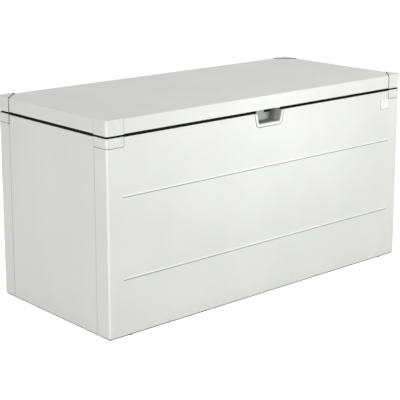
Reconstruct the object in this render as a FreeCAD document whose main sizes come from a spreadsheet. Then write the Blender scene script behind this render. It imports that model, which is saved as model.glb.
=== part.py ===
import FreeCAD, Part
import os
import re

import Sketcher

os.makedirs("parts", exist_ok=True)

# Outdoor storage box, folded from coated sheet steel, with a hinged lid on two gas struts.
# Millimetres. X runs along the front, Y from front to back and Z up.
# The origin is on the ground under the middle of the box.

SIZES = {
    # folded sheet panels
    "body_width": 1600,
    "body_depth": 700,
    "body_height": 740,
    "foot_height": 6,
    "sheet": 1,
    "corner_radius": 13,
    "return_leg": 75,
    "panel_seam": 1,
    "joggle_lap": 20,
    # pressed beads on the front panel
    "bead_width": 8,
    "bead_height": 1.8,
    "bead_flat": 1,
    "bead_inset": 67,
    "upper_bead_drop": 214.5,
    "lower_bead_rise": 216,
    # lid
    "lid_gap": 12,
    "lid_rim": 54,
    "lid_flange": 20,
    "rear_flange": 50,
    "lid_edge": 2,
    "tongue_side_lap": 11,
    "tongue_back_lap": 5,
    # corner caps
    "cap_leg": 75,
    "cap_wall": 2,
    "cap_skirt": 34,
    "cap_lip": 2.7,
    "cap_edge": 0.8,
    # rails under the rim
    "rail_width": 38,
    "rear_rail_width": 50,
    "rail_height": 30,
    "rail_gauge": 1.2,
    # corner posts
    "post_leg": 40,
    "post_gauge": 1.5,
    # base frame, floor and feet
    "base_height": 40,
    "base_flange": 30,
    "base_gauge": 1.5,
    "frame_gap": 0.5,
    "plank_height": 20,
    "plank_gap": 2,
    "plank_side_gap": 8,
    "plank_end_gap": 7,
    "foot_radius": 17,
    "foot_stem": 4,
    "foot_stem_gap": 0.2,
    "foot_head": 7,
    "foot_head_height": 3,
    "foot_inset": 18,
    "foot_side": 100,
    # recessed grip
    "grip_top": 138,
    "grip_bottom": 119,
    "grip_drop": 43,
    "grip_reach": 60,
    "grip_wall": 2,
    "grip_frame": 10,
    "grip_sill": 12,
    "grip_round": 6,
    "frame_round": 15,
    "cutout_gap": 3,
    "deck_margin": 5,
    # rim seal
    "seal_width": 12,
    "seal_gap": 0.3,
    "seal_round": 10,
    "seal_side_offset": 13,
    "seal_back_offset": 16,
    "seal_rear_inset": 34,
    "seal_hinge_gap": 10,
    # hinges
    "hinge_side": 200,
    "hinge_length": 160,
    "knuckle_clearance": 1,
    "knuckle_gap": 0.3,
    "pin_radius": 2.5,
    "pin_gap": 0.05,
    "leaf_gauge": 2,
    "leaf_width": 22,
    "leaf_relief": 0.6,
    "rivet_radius": 2,
    "rivet_gap": 0.1,
    "rivet_head": 4,
    "rivet_head_height": 1.4,
    "rivet_set_back": 10,
    "rivet_spacing": 100,
    # gas struts
    "strut_side_gap": 3,
    "strut_foot_back": 64,
    "strut_foot_drop": 80,
    "strut_top_reach": 280,
    "strut_top_rise": 20,
    "tube_radius": 9,
    "tube_bore": 7.5,
    "rod_radius": 4,
    "slide_gap": 0.05,
    "piston_gap": 0.08,
    "eye_radius": 9,
    "eye_width": 10,
    "strut_neck": 18,
    "strut_bottom": 27,
    "strut_head": 27,
    "rod_guide": 8,
    "piston_rest": 9,
    "piston_length": 10,
    "anchor_gauge": 3,
    "anchor_width": 32,
    "anchor_drop": 2.4,
    "anchor_collar": 6.5,
    "stud_radius": 4,
    "face_gap": 0.3,
    # lock
    "lock_inset": 9,
    "lock_set_back": 16,
    "lock_bezel": 10,
    "lock_bezel_height": 6,
    "lock_barrel": 9,
    "lock_plug": 6,
    "lock_stud": 4,
    "keyway_width": 2,
    "keyway_length": 8,
    "lock_length": 20,
    "cam_overhang": 3,
    "cam_width": 14,
    "cam_gauge": 3,
    "cam_clearance": 1,
    "lock_plate_gauge": 2,
    "keeper_gauge": 3,
    "keeper_width": 36,
    "keeper_foot": 14,
    "slot_gap": 3,
    "slot_front_gap": 6,
    # stiffeners under the lid
    "hat_height": 22,
    "hat_crown": 50,
    "hat_brim": 15,
    "hat_gauge": 1.2,
    "hat_side": 320,
    "hat_end_gap": 4,
    # bare plate on the front
    "plate_width": 52,
    "plate_height": 42,
    "plate_gauge": 1,
    "plate_side": 73,
    "plate_drop": 0.5,
}

# Places that several pieces share, worked out from the sizes.
PLACES = {
    "half_width": "body_width / 2",
    "half_depth": "body_depth / 2",
    "rim_level": "foot_height + body_height",
    "lid_level": "rim_level + lid_gap",
    "lid_top": "lid_level + lid_rim",
    "upper_bead": "body_height - upper_bead_drop",
    "foot_spot": "half_width - foot_side",
    "hinge_middle": "half_width - hinge_side",
    "knuckle_radius": "lid_gap / 2 - knuckle_clearance",
    "hinge_line": "half_depth + cap_wall - knuckle_radius",
    "hinge_level": "rim_level + lid_gap / 2",
    "grip_slope": "(grip_top - grip_bottom) / 2 / grip_drop",
    "grip_back": "grip_reach + grip_wall - half_depth",
    "seal_inset": "cap_lip + face_gap",
    "seal_hinge_reach": "hinge_middle + hinge_length / 2 + seal_hinge_gap",
    "deck_half": "grip_top / 2 + seal_side_offset + seal_width + deck_margin",
    "deck_end": "grip_back + seal_back_offset + seal_width + deck_margin",
    "tongue_half": "deck_half + tongue_side_lap",
    "tongue_end": "deck_end + tongue_back_lap",
    "strut_foot_line": "hinge_line - strut_foot_back",
    "strut_foot_level": "hinge_level - strut_foot_drop",
    "strut_top_line": "hinge_line - strut_top_reach",
    "strut_top_level": "hinge_level + strut_top_rise",
    "strut_length": "sqrt((strut_foot_line - strut_top_line)^2 + (strut_top_level - strut_foot_level)^2)",
    "anchor_face": "half_width - 2 * sheet - rail_width",
    "strut_plane": "anchor_face - anchor_gauge - tube_radius - strut_side_gap",
    "lock_side": "grip_top / 2 - lock_inset",
    "lock_line": "lock_set_back - half_depth",
    "cam_length": "grip_back + keeper_gauge + cam_overhang - lock_line",
    "cam_level": "lid_level + sheet + lock_length",
}

doc = FreeCAD.newDocument("outdoor_storage_box")
sizes = doc.addObject("Spreadsheet::Sheet", "sizes")
places = doc.addObject("Spreadsheet::Sheet", "places")


def formula(text):
    """A formula in the sheets' words, each word given the name of its sheet."""

    def full_name(match):
        word = match.group(0)
        if word in SIZES:
            return "sizes." + word
        if word in PLACES:
            return "places." + word
        return word

    return re.sub(r"[a-z][a-z_]*", full_name, text)


for row, (alias, size) in enumerate(SIZES.items(), start=1):
    sizes.set(f"A{row}", alias)
    sizes.set(f"B{row}", str(size))
    sizes.setAlias(f"B{row}", alias)
for row, alias in enumerate(PLACES, start=1):
    places.set(f"A{row}", alias)
    places.setAlias(f"B{row}", alias)
for row, text in enumerate(PLACES.values(), start=1):
    places.set(f"B{row}", "=" + formula(text))
doc.recompute()

nodes = []
NEAR = 0.01
FULL_TURN = 360
SIDES = {"left": "-1", "right": "1"}
ENDS = {"front": "-1", "back": "1"}


def value(text):
    found = places.evalExpression(formula(text))
    return float(getattr(found, "Value", found))


def new_body(label):
    body = doc.addObject("PartDesign::Body", label)
    body.Label = label
    nodes.append(body)
    return body


def place(body, x="0", y="0", z="0"):
    for axis, text in zip("xyz", (x, y, z)):
        body.setExpression("Placement.Base." + axis, formula(text))


# Each plane's role, and whether its sketches face along the axis of the pad or against it.
PLANES = {"level": ("XY_Plane", 1), "across": ("XZ_Plane", -1), "along": ("YZ_Plane", 1)}


def new_sketch(body, plane, start="0"):
    role, facing = PLANES[plane]
    sketch = body.newObject("Sketcher::SketchObject", body.Label + "_outline")
    origin_plane = [f for f in body.Origin.OriginFeatures if f.Role == role][0]
    sketch.AttachmentSupport = [(origin_plane, "")]
    sketch.MapMode = "FlatFace"
    sketch.setExpression("AttachmentOffset.Base.z", formula(f"{facing} * ({start})"))
    return sketch


def bind_point(sketch, geometry, point, x, y):
    for kind, text in (("DistanceX", x), ("DistanceY", y)):
        rule = Sketcher.Constraint(kind, -1, 1, geometry, point, value(text))
        number = sketch.addConstraint(rule)
        sketch.setExpression(f"Constraints[{number}]", formula(text))


def draw_outline(sketch, corners):
    """A closed outline of straight lines whose corners are bound to the sheets."""
    spots = [FreeCAD.Vector(value(x), value(y), 0) for x, y in corners]
    first = sketch.GeometryCount
    count = len(spots)
    for number, spot in enumerate(spots):
        sketch.addGeometry(Part.LineSegment(spot, spots[(number + 1) % count]))
    for number in range(count):
        following = first + (number + 1) % count
        sketch.addConstraint(Sketcher.Constraint("Coincident", first + number, 2, following, 1))
    for number, (x, y) in enumerate(corners):
        bind_point(sketch, first + number, 1, x, y)


def draw_circle(sketch, x, y, radius):
    middle = FreeCAD.Vector(value(x), value(y), 0)
    up = FreeCAD.Vector(0, 0, 1)
    geometry = sketch.addGeometry(Part.Circle(middle, up, value(radius)))
    bind_point(sketch, geometry, 3, x, y)
    number = sketch.addConstraint(Sketcher.Constraint("Radius", geometry, value(radius)))
    sketch.setExpression(f"Constraints[{number}]", formula(radius))


def extend(body, sketch, plane, length, cut=False):
    """Pads or pockets a sketch along its plane's axis."""
    kind = "PartDesign::Pocket" if cut else "PartDesign::Pad"
    feature = body.newObject(kind, body.Label + ("_cut" if cut else "_pad"))
    feature.Profile = sketch
    feature.setExpression("Length", formula(length))
    feature.Reversed = cut == (PLANES[plane][1] == 1)


def slab(body, plane, corners, start, length, cut=False):
    """Adds or cuts a flat-sided block: an outline carried from start along the plane's axis."""
    sketch = new_sketch(body, plane, start)
    draw_outline(sketch, corners)
    extend(body, sketch, plane, length, cut)


def round_slab(body, plane, circles, start, length, cut=False):
    """Adds or cuts round bars, each circle given as x, y and radius."""
    sketch = new_sketch(body, plane, start)
    for x, y, radius in circles:
        draw_circle(sketch, x, y, radius)
    extend(body, sketch, plane, length, cut)


def turn(body, profile):
    """Revolves a profile of radius and height about the body's upright axis."""
    sketch = new_sketch(body, "across")
    draw_outline(sketch, profile)
    feature = body.newObject("PartDesign::Revolution", body.Label + "_turned")
    feature.Profile = sketch
    feature.ReferenceAxis = (sketch, ["V_Axis"])
    feature.Angle = FULL_TURN


def block(x0, y0, x1, y1):
    return [(x0, y0), (x1, y0), (x1, y1), (x0, y1)]


def named_edges(shape):
    return [(f"Edge{number}", edge) for number, edge in enumerate(shape.Edges, start=1)]


def edge_runs(edge, axis):
    """Whether an edge is a straight one along the axis."""
    box = edge.BoundBox
    spans = {"X": box.XLength, "Y": box.YLength, "Z": box.ZLength}
    along = spans.pop(axis)
    return along > NEAR and max(spans.values()) < NEAR


def is_near(number, aim):
    return abs(number - aim) < NEAR


def fillet(body, radius, wanted):
    """Rounds the edges of the body's last feature that the test picks out."""
    doc.recompute()
    base = body.Tip
    names = [name for name, edge in named_edges(base.Shape) if wanted(edge)]
    feature = body.newObject("PartDesign::Fillet", body.Label + "_round")
    feature.Base = (base, names)
    feature.setExpression("Radius", formula(radius))


def round_uprights(body, radius, size_x, size_y):
    """Rounds the upright edges that stand at these distances from the box's middle."""
    x, y = value(size_x), value(size_y)

    def wanted(edge):
        spot = edge.Vertexes[0]
        beside = is_near(abs(spot.X), x) and is_near(abs(spot.Y), y)
        return beside and edge_runs(edge, "Z")

    fillet(body, radius, wanted)


# Folded outer panels


def wrapped_panel(label, end):
    """A panel folded round the box's two upright corners, with a return on each side."""
    body = new_body(label)
    place(body, z="foot_height")
    face = f"{end} * half_depth"
    inner = f"{end} * (half_depth - sheet)"
    tip = f"{end} * (half_depth - return_leg)"
    corners = [
        ("-half_width", tip),
        ("-half_width", face),
        ("half_width", face),
        ("half_width", tip),
        ("half_width - sheet", tip),
        ("half_width - sheet", inner),
        ("sheet - half_width", inner),
        ("sheet - half_width", tip),
    ]
    slab(body, "level", corners, "0", "body_height")
    round_uprights(body, "corner_radius", "half_width", "half_depth")
    round_uprights(body, "corner_radius - sheet", "half_width - sheet", "half_depth - sheet")
    return body


def press_bead(body, level):
    """A level ridge pressed out of the front face, so that it is hollow behind."""
    low = f"{level} - bead_width / 2"
    high = f"{level} + bead_width / 2"
    crest_low = f"{level} - bead_flat / 2"
    crest_high = f"{level} + bead_flat / 2"
    ridge = [
        ("sheet - half_depth", low),
        ("-half_depth", low),
        ("-half_depth - bead_height", crest_low),
        ("-half_depth - bead_height", crest_high),
        ("-half_depth", high),
        ("sheet - half_depth", high),
    ]
    hollow = [
        ("sheet - half_depth", f"{low} + sheet / 4"),
        ("sheet - half_depth - bead_height", f"{crest_low} + sheet / 4"),
        ("sheet - half_depth - bead_height", f"{crest_high} - sheet / 4"),
        ("sheet - half_depth", f"{high} - sheet / 4"),
    ]
    start = "bead_inset - half_width"
    length = "body_width - 2 * bead_inset"
    slab(body, "along", ridge, start, length)
    slab(body, "along", hollow, f"{start} + sheet", f"{length} - 2 * sheet", cut=True)


def grip_outline(extra, drop, top):
    """The grip's tapered opening, made larger by extra at the sides and by drop below."""
    half_top = f"(grip_top / 2 + {extra})"
    depth = f"(grip_drop + {drop})"
    half_bottom = f"({half_top} - grip_slope * {depth})"
    return [
        (half_top, top),
        (f"-{half_top}", top),
        (f"-{half_bottom}", f"{top} - {depth}"),
        (half_bottom, f"{top} - {depth}"),
    ]


def front_panel():
    body = wrapped_panel("front_panel", "-1")
    cutout = grip_outline("(grip_wall + cutout_gap)", "(grip_wall + cutout_gap)", "body_height")
    slab(body, "across", cutout, "-half_depth", "2 * sheet", cut=True)
    press_bead(body, "upper_bead")
    press_bead(body, "lower_bead_rise")


def side_panel(side):
    """A flat side, stepped in at both ends to pass behind the front and back panels' returns."""
    body = new_body(f"side_panel_{side}")
    place(body, z="foot_height")
    sign = SIDES[side]
    seam = "(half_depth - return_leg - panel_seam)"
    outer = f"{sign} * half_width"
    middle = f"{sign} * (half_width - sheet)"
    inner = f"{sign} * (half_width - 2 * sheet)"
    lap = f"({seam} + joggle_lap)"
    root = f"({seam} - 2 * sheet)"
    corners = [
        (outer, f"-{seam}"),
        (outer, seam),
        (middle, seam),
        (middle, lap),
        (inner, lap),
        (inner, root),
        (middle, root),
        (middle, f"-{root}"),
        (inner, f"-{root}"),
        (inner, f"-{lap}"),
        (middle, f"-{lap}"),
        (middle, f"-{seam}"),
    ]
    slab(body, "level", corners, "0", "body_height")


def corner_post(end, side):
    """An angle that stiffens one upright corner from the bottom edge to the rim rails."""
    body = new_body(f"corner_post_{end}_{side}")
    place(body, z="foot_height")
    x_sign, y_sign = SIDES[side], ENDS[end]
    outer_x = "(half_width - sheet)"
    outer_y = "(half_depth - sheet)"
    corners = [
        (f"{x_sign} * {outer_x}", f"{y_sign} * {outer_y}"),
        (f"{x_sign} * {outer_x}", f"{y_sign} * ({outer_y} - post_leg)"),
        (f"{x_sign} * ({outer_x} - post_gauge)", f"{y_sign} * ({outer_y} - post_leg)"),
        (f"{x_sign} * ({outer_x} - post_gauge)", f"{y_sign} * ({outer_y} - post_gauge)"),
        (f"{x_sign} * ({outer_x} - post_leg)", f"{y_sign} * ({outer_y} - post_gauge)"),
        (f"{x_sign} * ({outer_x} - post_leg)", f"{y_sign} * {outer_y}"),
    ]
    slab(body, "level", corners, "0", "body_height - rail_height")
    round_uprights(body, "corner_radius + sheet", outer_x, outer_y)
    inside = "corner_radius + sheet - post_gauge"
    round_uprights(body, inside, f"{outer_x} - post_gauge", f"{outer_y} - post_gauge")


# Rails under the rim


def channel(wall, edge):
    """Section of a channel that opens downwards, from the panel's wall to its inner edge."""
    step = "-1" if value(wall) > value(edge) else "1"
    low = "rim_level - rail_height"
    web = "rim_level - rail_gauge"
    return [
        (wall, low),
        (wall, "rim_level"),
        (edge, "rim_level"),
        (edge, low),
        (f"{edge} - {step} * rail_gauge", low),
        (f"{edge} - {step} * rail_gauge", web),
        (f"{wall} + {step} * rail_gauge", web),
        (f"{wall} + {step} * rail_gauge", low),
    ]


def cut_rail_corner(body, x_sign, y_sign):
    """Takes the outer corner off a rail's end, to clear the panel's bend."""
    x = f"{x_sign} * (half_width - sheet)"
    y = f"{y_sign} * (half_depth - sheet)"
    corners = [
        (x, y),
        (f"{x} - {x_sign} * corner_radius", y),
        (x, f"{y} - {y_sign} * corner_radius"),
    ]
    slab(body, "level", corners, "rim_level - rail_height", "rail_height", cut=True)


def front_rim_rail(side):
    body = new_body(f"front_rim_rail_{side}")
    wall = "sheet - half_depth"
    section = channel(wall, f"{wall} + rail_width")
    length = "half_width - sheet - deck_half - frame_gap"
    start = "deck_half + frame_gap" if side == "right" else "sheet - half_width"
    slab(body, "along", section, start, length)
    cut_rail_corner(body, SIDES[side], "-1")


def rear_rim_rail():
    body = new_body("rear_rim_rail")
    wall = "half_depth - sheet"
    section = channel(wall, f"{wall} - rear_rail_width")
    slab(body, "along", section, "sheet - half_width", "body_width - 2 * sheet")
    cut_rail_corner(body, "-1", "1")
    cut_rail_corner(body, "1", "1")


def side_rim_rail(side):
    body = new_body(f"side_rim_rail_{side}")
    sign = SIDES[side]
    wall = f"{sign} * (half_width - 2 * sheet)"
    section = channel(wall, f"{wall} - {sign} * rail_width")
    start = "sheet - half_depth + rail_width"
    length = "body_depth - 2 * sheet - rail_width - rear_rail_width"
    slab(body, "across", section, start, length)


# Corner caps


def wrap_outline(x_sign, y_sign, reach_in):
    """An angle round the box's corner, from the caps' outer face to reach_in inside the sheet."""
    return [
        (f"{x_sign} * (half_width + cap_wall)", f"{y_sign} * (half_depth + cap_wall)"),
        (f"{x_sign} * (half_width + cap_wall)", f"{y_sign} * (half_depth - cap_leg)"),
        (f"{x_sign} * (half_width - {reach_in})", f"{y_sign} * (half_depth - cap_leg)"),
        (f"{x_sign} * (half_width - {reach_in})", f"{y_sign} * (half_depth - {reach_in})"),
        (f"{x_sign} * (half_width - cap_leg)", f"{y_sign} * (half_depth - {reach_in})"),
        (f"{x_sign} * (half_width - cap_leg)", f"{y_sign} * (half_depth + cap_wall)"),
    ]


OUTER_CORNER = ("half_width + cap_wall", "half_depth + cap_wall")
OUTER_RADIUS = "corner_radius + cap_wall"


def round_outer_rim(body, *levels):
    """Eases a cap's outer edges at the given levels."""
    x, y = value("half_width + cap_wall"), value("half_depth + cap_wall")
    heights = [value(level) for level in levels]

    def wanted(edge):
        outside = [is_near(abs(v.X), x) or is_near(abs(v.Y), y) for v in edge.Vertexes]
        level = [any(is_near(v.Z, height) for height in heights) for v in edge.Vertexes]
        return all(outside) and all(level) and edge.BoundBox.ZLength < NEAR

    fillet(body, "cap_edge", wanted)


def body_cap(end, side):
    """Moulded cap over one top corner of the body, with a lip on the panels' top edge."""
    body = new_body(f"body_cap_{end}_{side}")
    x_sign, y_sign = SIDES[side], ENDS[end]
    skirt = wrap_outline(x_sign, y_sign, "0")
    slab(body, "level", skirt, "rim_level - cap_skirt", "cap_skirt")
    round_uprights(body, "corner_radius", "half_width", "half_depth")
    slab(body, "level", wrap_outline(x_sign, y_sign, "cap_lip"), "rim_level", "cap_wall")
    round_uprights(body, OUTER_RADIUS, *OUTER_CORNER)
    round_outer_rim(body, "rim_level + cap_wall", "rim_level - cap_skirt")


def lid_cap(end, side):
    """Moulded cap over one corner of the lid: a skirt, a three-cornered top and a lip below."""
    body = new_body(f"lid_cap_{end}_{side}")
    x_sign, y_sign = SIDES[side], ENDS[end]
    skirt = wrap_outline(x_sign, y_sign, "0")
    slab(body, "level", skirt, "lid_level", "lid_rim")
    round_uprights(body, "corner_radius", "half_width", "half_depth")
    top = [
        (f"{x_sign} * (half_width + cap_wall)", f"{y_sign} * (half_depth + cap_wall)"),
        (f"{x_sign} * (half_width + cap_wall)", f"{y_sign} * (half_depth - cap_leg)"),
        (f"{x_sign} * half_width", f"{y_sign} * (half_depth - cap_leg)"),
        (f"{x_sign} * (half_width - cap_leg)", f"{y_sign} * half_depth"),
        (f"{x_sign} * (half_width - cap_leg)", f"{y_sign} * (half_depth + cap_wall)"),
    ]
    slab(body, "level", top, "lid_top", "cap_wall")
    lip = wrap_outline(x_sign, y_sign, "cap_lip")
    slab(body, "level", lip, "lid_level - cap_wall", "cap_wall")
    round_uprights(body, OUTER_RADIUS, *OUTER_CORNER)
    round_outer_rim(body, "lid_top + cap_wall", "lid_level - cap_wall")


# Base frame, floor and feet


def base_rail(label, plane, wall, step, start, length):
    """An angle inside the foot of one panel; step is the way from the wall into the box."""
    body = new_body(label)
    place(body, z="foot_height")
    section = [
        (wall, "0"),
        (wall, "base_height"),
        (f"{wall} + {step} * base_gauge", "base_height"),
        (f"{wall} + {step} * base_gauge", "base_gauge"),
        (f"{wall} + {step} * base_flange", "base_gauge"),
        (f"{wall} + {step} * base_flange", "0"),
    ]
    slab(body, plane, section, start, length)
    return body


def long_base_rail(end):
    """Angle along the foot of the front or back panel, holed for the feet."""
    sign = ENDS[end]
    half = "(half_width - sheet - post_leg - frame_gap)"
    wall = f"{sign} * (half_depth - sheet)"
    body = base_rail(f"base_rail_{end}", "along", wall, f"(-{sign})", f"-{half}", f"2 * {half}")
    y = f"{sign} * (half_depth - sheet - foot_inset)"
    holes = []
    for side_sign in SIDES.values():
        holes.append((f"{side_sign} * foot_spot", y, "foot_stem + foot_stem_gap"))
    round_slab(body, "level", holes, "0", "base_gauge", cut=True)


def short_base_rail(side):
    """Angle along the foot of a side panel."""
    sign = SIDES[side]
    half = "(half_depth - sheet - post_leg - frame_gap)"
    wall = f"{sign} * (half_width - 2 * sheet)"
    base_rail(f"base_rail_{side}", "across", wall, f"(-{sign})", f"-{half}", f"2 * {half}")


PLANK_COUNT = 3


def floor_plank(number):
    """One tray of the floor, turned down along both long edges and resting on the base rails."""
    body = new_body(f"floor_plank_{number + 1}")
    place(body, z="foot_height + base_gauge")
    whole = "(body_width - 4 * sheet - 2 * plank_side_gap)"
    pitch = f"(({whole} + plank_gap) / {PLANK_COUNT})"
    left = f"({pitch} * {number} - {whole} / 2)"
    right = f"({left} + {pitch} - plank_gap)"
    section = [
        (left, "0"),
        (left, "plank_height"),
        (right, "plank_height"),
        (right, "0"),
        (f"{right} - sheet", "0"),
        (f"{right} - sheet", "plank_height - sheet"),
        (f"{left} + sheet", "plank_height - sheet"),
        (f"{left} + sheet", "0"),
    ]
    half = "(half_depth - plank_end_gap)"
    slab(body, "across", section, f"-{half}", f"2 * {half}")


def foot(end, side):
    """Moulded foot: a pad under the base rail, snapped through it by its stem and head."""
    body = new_body(f"foot_{end}_{side}")
    x = f"{SIDES[side]} * foot_spot"
    place(body, x, f"{ENDS[end]} * (half_depth - sheet - foot_inset)")
    seat = "(foot_height + base_gauge + face_gap)"
    profile = [
        ("0", "0"),
        ("foot_radius", "0"),
        ("foot_radius", "foot_height"),
        ("foot_stem", "foot_height"),
        ("foot_stem", seat),
        ("foot_head", seat),
        ("foot_stem", f"{seat} + foot_head_height"),
        ("0", f"{seat} + foot_head_height"),
    ]
    turn(body, profile)


# Recessed grip, rim seal and bare plate


def round_cup(body, radius, back):
    """Rounds the cup's two low edges that run back to the given face."""
    aim, middle = value(back), value("-grip_drop / 2")

    def wanted(edge):
        box = edge.BoundBox
        return edge_runs(edge, "Y") and box.ZMax < middle and is_near(box.YMax, aim)

    fillet(body, radius, wanted)


def grip_cup():
    """Moulded cup in the front's top edge, with a frame outside and a deck that carries the seal."""
    body = new_body("grip_cup")
    place(body, z="rim_level")
    frame = grip_outline("grip_frame", "grip_sill", "0")
    slab(body, "across", frame, "-half_depth - cap_wall", "cap_wall")
    round_cup(body, "frame_round", "-half_depth")
    shell = grip_outline("grip_wall", "grip_wall", "0")
    slab(body, "across", shell, "-half_depth", "grip_reach + grip_wall")
    round_cup(body, "grip_round + grip_wall", "grip_back")
    deck = block("-deck_half", "sheet - half_depth", "deck_half", "deck_end")
    slab(body, "level", deck, "-grip_wall", "grip_wall")
    hollow = grip_outline("0", "0", "0")
    slab(body, "across", hollow, "-half_depth - cap_wall", "grip_reach + cap_wall", cut=True)
    round_cup(body, "grip_round", "grip_back - grip_wall")


def rim_seal():
    """One black ring of seal on the rim rails, led round the grip and inside the hinges."""
    body = new_body("rim_seal")
    place(body, z="rim_level")
    side = "(half_width - seal_inset)"
    front = "(seal_inset - half_depth)"
    rear = "(half_depth - seal_inset)"
    jog = "(grip_top / 2 + seal_side_offset)"
    jog_back = "(grip_back + seal_back_offset)"
    hinge_jog = "(half_depth - seal_rear_inset)"
    outer = [
        (f"-{side}", front),
        (f"-{jog}", front),
        (f"-{jog}", jog_back),
        (jog, jog_back),
        (jog, front),
        (side, front),
        (side, rear),
        ("seal_hinge_reach", rear),
        ("seal_hinge_reach", hinge_jog),
        ("-seal_hinge_reach", hinge_jog),
        ("-seal_hinge_reach", rear),
        (f"-{side}", rear),
    ]
    w = "seal_width"
    inner = [
        (f"{w} - {side}", f"{front} + {w}"),
        (f"-{jog} - {w}", f"{front} + {w}"),
        (f"-{jog} - {w}", f"{jog_back} + {w}"),
        (f"{jog} + {w}", f"{jog_back} + {w}"),
        (f"{jog} + {w}", f"{front} + {w}"),
        (f"{side} - {w}", f"{front} + {w}"),
        (f"{side} - {w}", f"{rear} - {w}"),
        (f"seal_hinge_reach + {w}", f"{rear} - {w}"),
        (f"seal_hinge_reach + {w}", f"{hinge_jog} - {w}"),
        (f"-seal_hinge_reach - {w}", f"{hinge_jog} - {w}"),
        (f"-seal_hinge_reach - {w}", f"{rear} - {w}"),
        (f"{w} - {side}", f"{rear} - {w}"),
    ]
    sketch = new_sketch(body, "level")
    draw_outline(sketch, outer)
    draw_outline(sketch, inner)
    extend(body, sketch, "level", "lid_gap - seal_gap")
    round_uprights(body, "seal_round", "half_width - seal_inset", "half_depth - seal_inset")


def bare_plate():
    """Small blank plate on the front, below the right cap."""
    body = new_body("bare_plate")
    right = "half_width - plate_side"
    top = "rim_level - cap_skirt - plate_drop"
    corners = block(f"{right} - plate_width", f"{top} - plate_height", right, top)
    slab(body, "across", corners, "-half_depth - plate_gauge", "plate_gauge")


# Hinges


KNUCKLE_COUNT = 5


def leaf(side, part):
    """A hinge leaf with its share of the knuckles, the body's outermost and the lid's between."""
    body = new_body(f"hinge_{part}_leaf_{side}")
    place(body, f"{SIDES[side]} * hinge_middle", "hinge_line", "hinge_level")
    pitch = f"(hinge_length / {KNUCKLE_COUNT})"
    first = 0 if part == "body" else 1
    low = "-lid_gap / 2" if part == "body" else "lid_gap / 2 - leaf_gauge"
    inner = "-knuckle_radius - leaf_relief"
    outline = block("-hinge_length / 2", "-leaf_width", "hinge_length / 2", inner)
    slab(body, "level", outline, low, "leaf_gauge")
    for number in range(first, KNUCKLE_COUNT, 2):
        start = f"({pitch} * {number} - hinge_length / 2)"
        tab = block(start, f"{inner} - leaf_relief", f"{start} + {pitch} - knuckle_gap", "0")
        slab(body, "level", tab, low, "leaf_gauge")
        ring = [("0", "0", "knuckle_radius")]
        round_slab(body, "along", ring, start, f"{pitch} - knuckle_gap")
    bore = [("0", "0", "pin_radius + pin_gap")]
    round_slab(body, "along", bore, "-hinge_length / 2", "hinge_length", cut=True)
    holes = []
    for sign in ("-1", "1"):
        x = f"{sign} * rivet_spacing / 2"
        holes.append((x, "rivet_set_back - leaf_width", "rivet_radius + rivet_gap"))
    round_slab(body, "level", holes, low, "leaf_gauge", cut=True)


def bar(label, radius, length, axis, x, y, z):
    """A plain round bar, its near end at the given place."""
    rod = doc.addObject("Part::Cylinder", label)
    rod.setExpression("Radius", formula(radius))
    rod.setExpression("Height", formula(length))
    rod.Placement.Rotation = FreeCAD.Rotation(FreeCAD.Vector(0, 0, 1), axis)
    for letter, text in zip("xyz", (x, y, z)):
        rod.setExpression("Placement.Base." + letter, formula(text))
    return rod


def group(label, pieces):
    """Like pieces that share one node, each a solid of its own."""
    found = doc.addObject("Part::Compound", label)
    found.Label = label
    found.Links = pieces
    nodes.append(found)


def hinge_pins():
    pins = []
    for side, sign in SIDES.items():
        x = f"{sign} * hinge_middle - hinge_length / 2"
        along = FreeCAD.Vector(1, 0, 0)
        length = "hinge_length - knuckle_gap"
        pins.append(bar(f"pin_{side}", "pin_radius", length, along, x, "hinge_line", "hinge_level"))
    group("hinge_pins", pins)


def hinge_rivets(part):
    """The rivets of both leaves on the body or on the lid, each a head on a shank."""
    facing = 1 if part == "body" else -1
    up = FreeCAD.Vector(0, 0, facing)
    seat = "rim_level" if part == "body" else "lid_level"
    rivets = []
    for side, sign in SIDES.items():
        for step in ("-1", "1"):
            x = f"{sign} * hinge_middle + {step} * rivet_spacing / 2"
            y = "hinge_line - leaf_width + rivet_set_back"
            name = f"{part}_rivet_{side}_{'first' if step == '-1' else 'second'}"
            shank = bar(name + "_shank", "rivet_radius", "leaf_gauge", up, x, y, seat)
            head_seat = f"{seat} + {facing} * leaf_gauge"
            head = bar(name + "_head", "rivet_head", "rivet_head_height", up, x, y, head_seat)
            rivet = doc.addObject("Part::Fuse", name)
            rivet.Base = shank
            rivet.Tool = head
            rivets.append(rivet)
    group(f"{part}_hinge_rivets", rivets)


# Lid


def lid_panel():
    """The lid: a sheet pan with a rim, turned in below, and a tongue behind the grip."""
    body = new_body("lid_panel")
    place(body, z="lid_level")
    outer = block("-half_width", "-half_depth", "half_width", "half_depth")
    slab(body, "level", outer, "0", "lid_rim")
    round_uprights(body, "corner_radius", "half_width", "half_depth")
    fillet(body, "lid_edge", lambda edge: is_near(edge.BoundBox.ZMin, value("lid_rim")))
    inner = block(
        "sheet - half_width", "sheet - half_depth", "half_width - sheet", "half_depth - sheet"
    )
    slab(body, "level", inner, "sheet", "lid_rim - 2 * sheet", cut=True)
    side = "(half_width - lid_flange)"
    front = "(lid_flange - half_depth)"
    opening = [
        (f"-{side}", front),
        ("-tongue_half", front),
        ("-tongue_half", "tongue_end"),
        ("tongue_half", "tongue_end"),
        ("tongue_half", front),
        (side, front),
        (side, "half_depth - rear_flange"),
        (f"-{side}", "half_depth - rear_flange"),
    ]
    slab(body, "level", opening, "0", "sheet", cut=True)
    cut_lock_holes(body, "0", "sheet")


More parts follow.
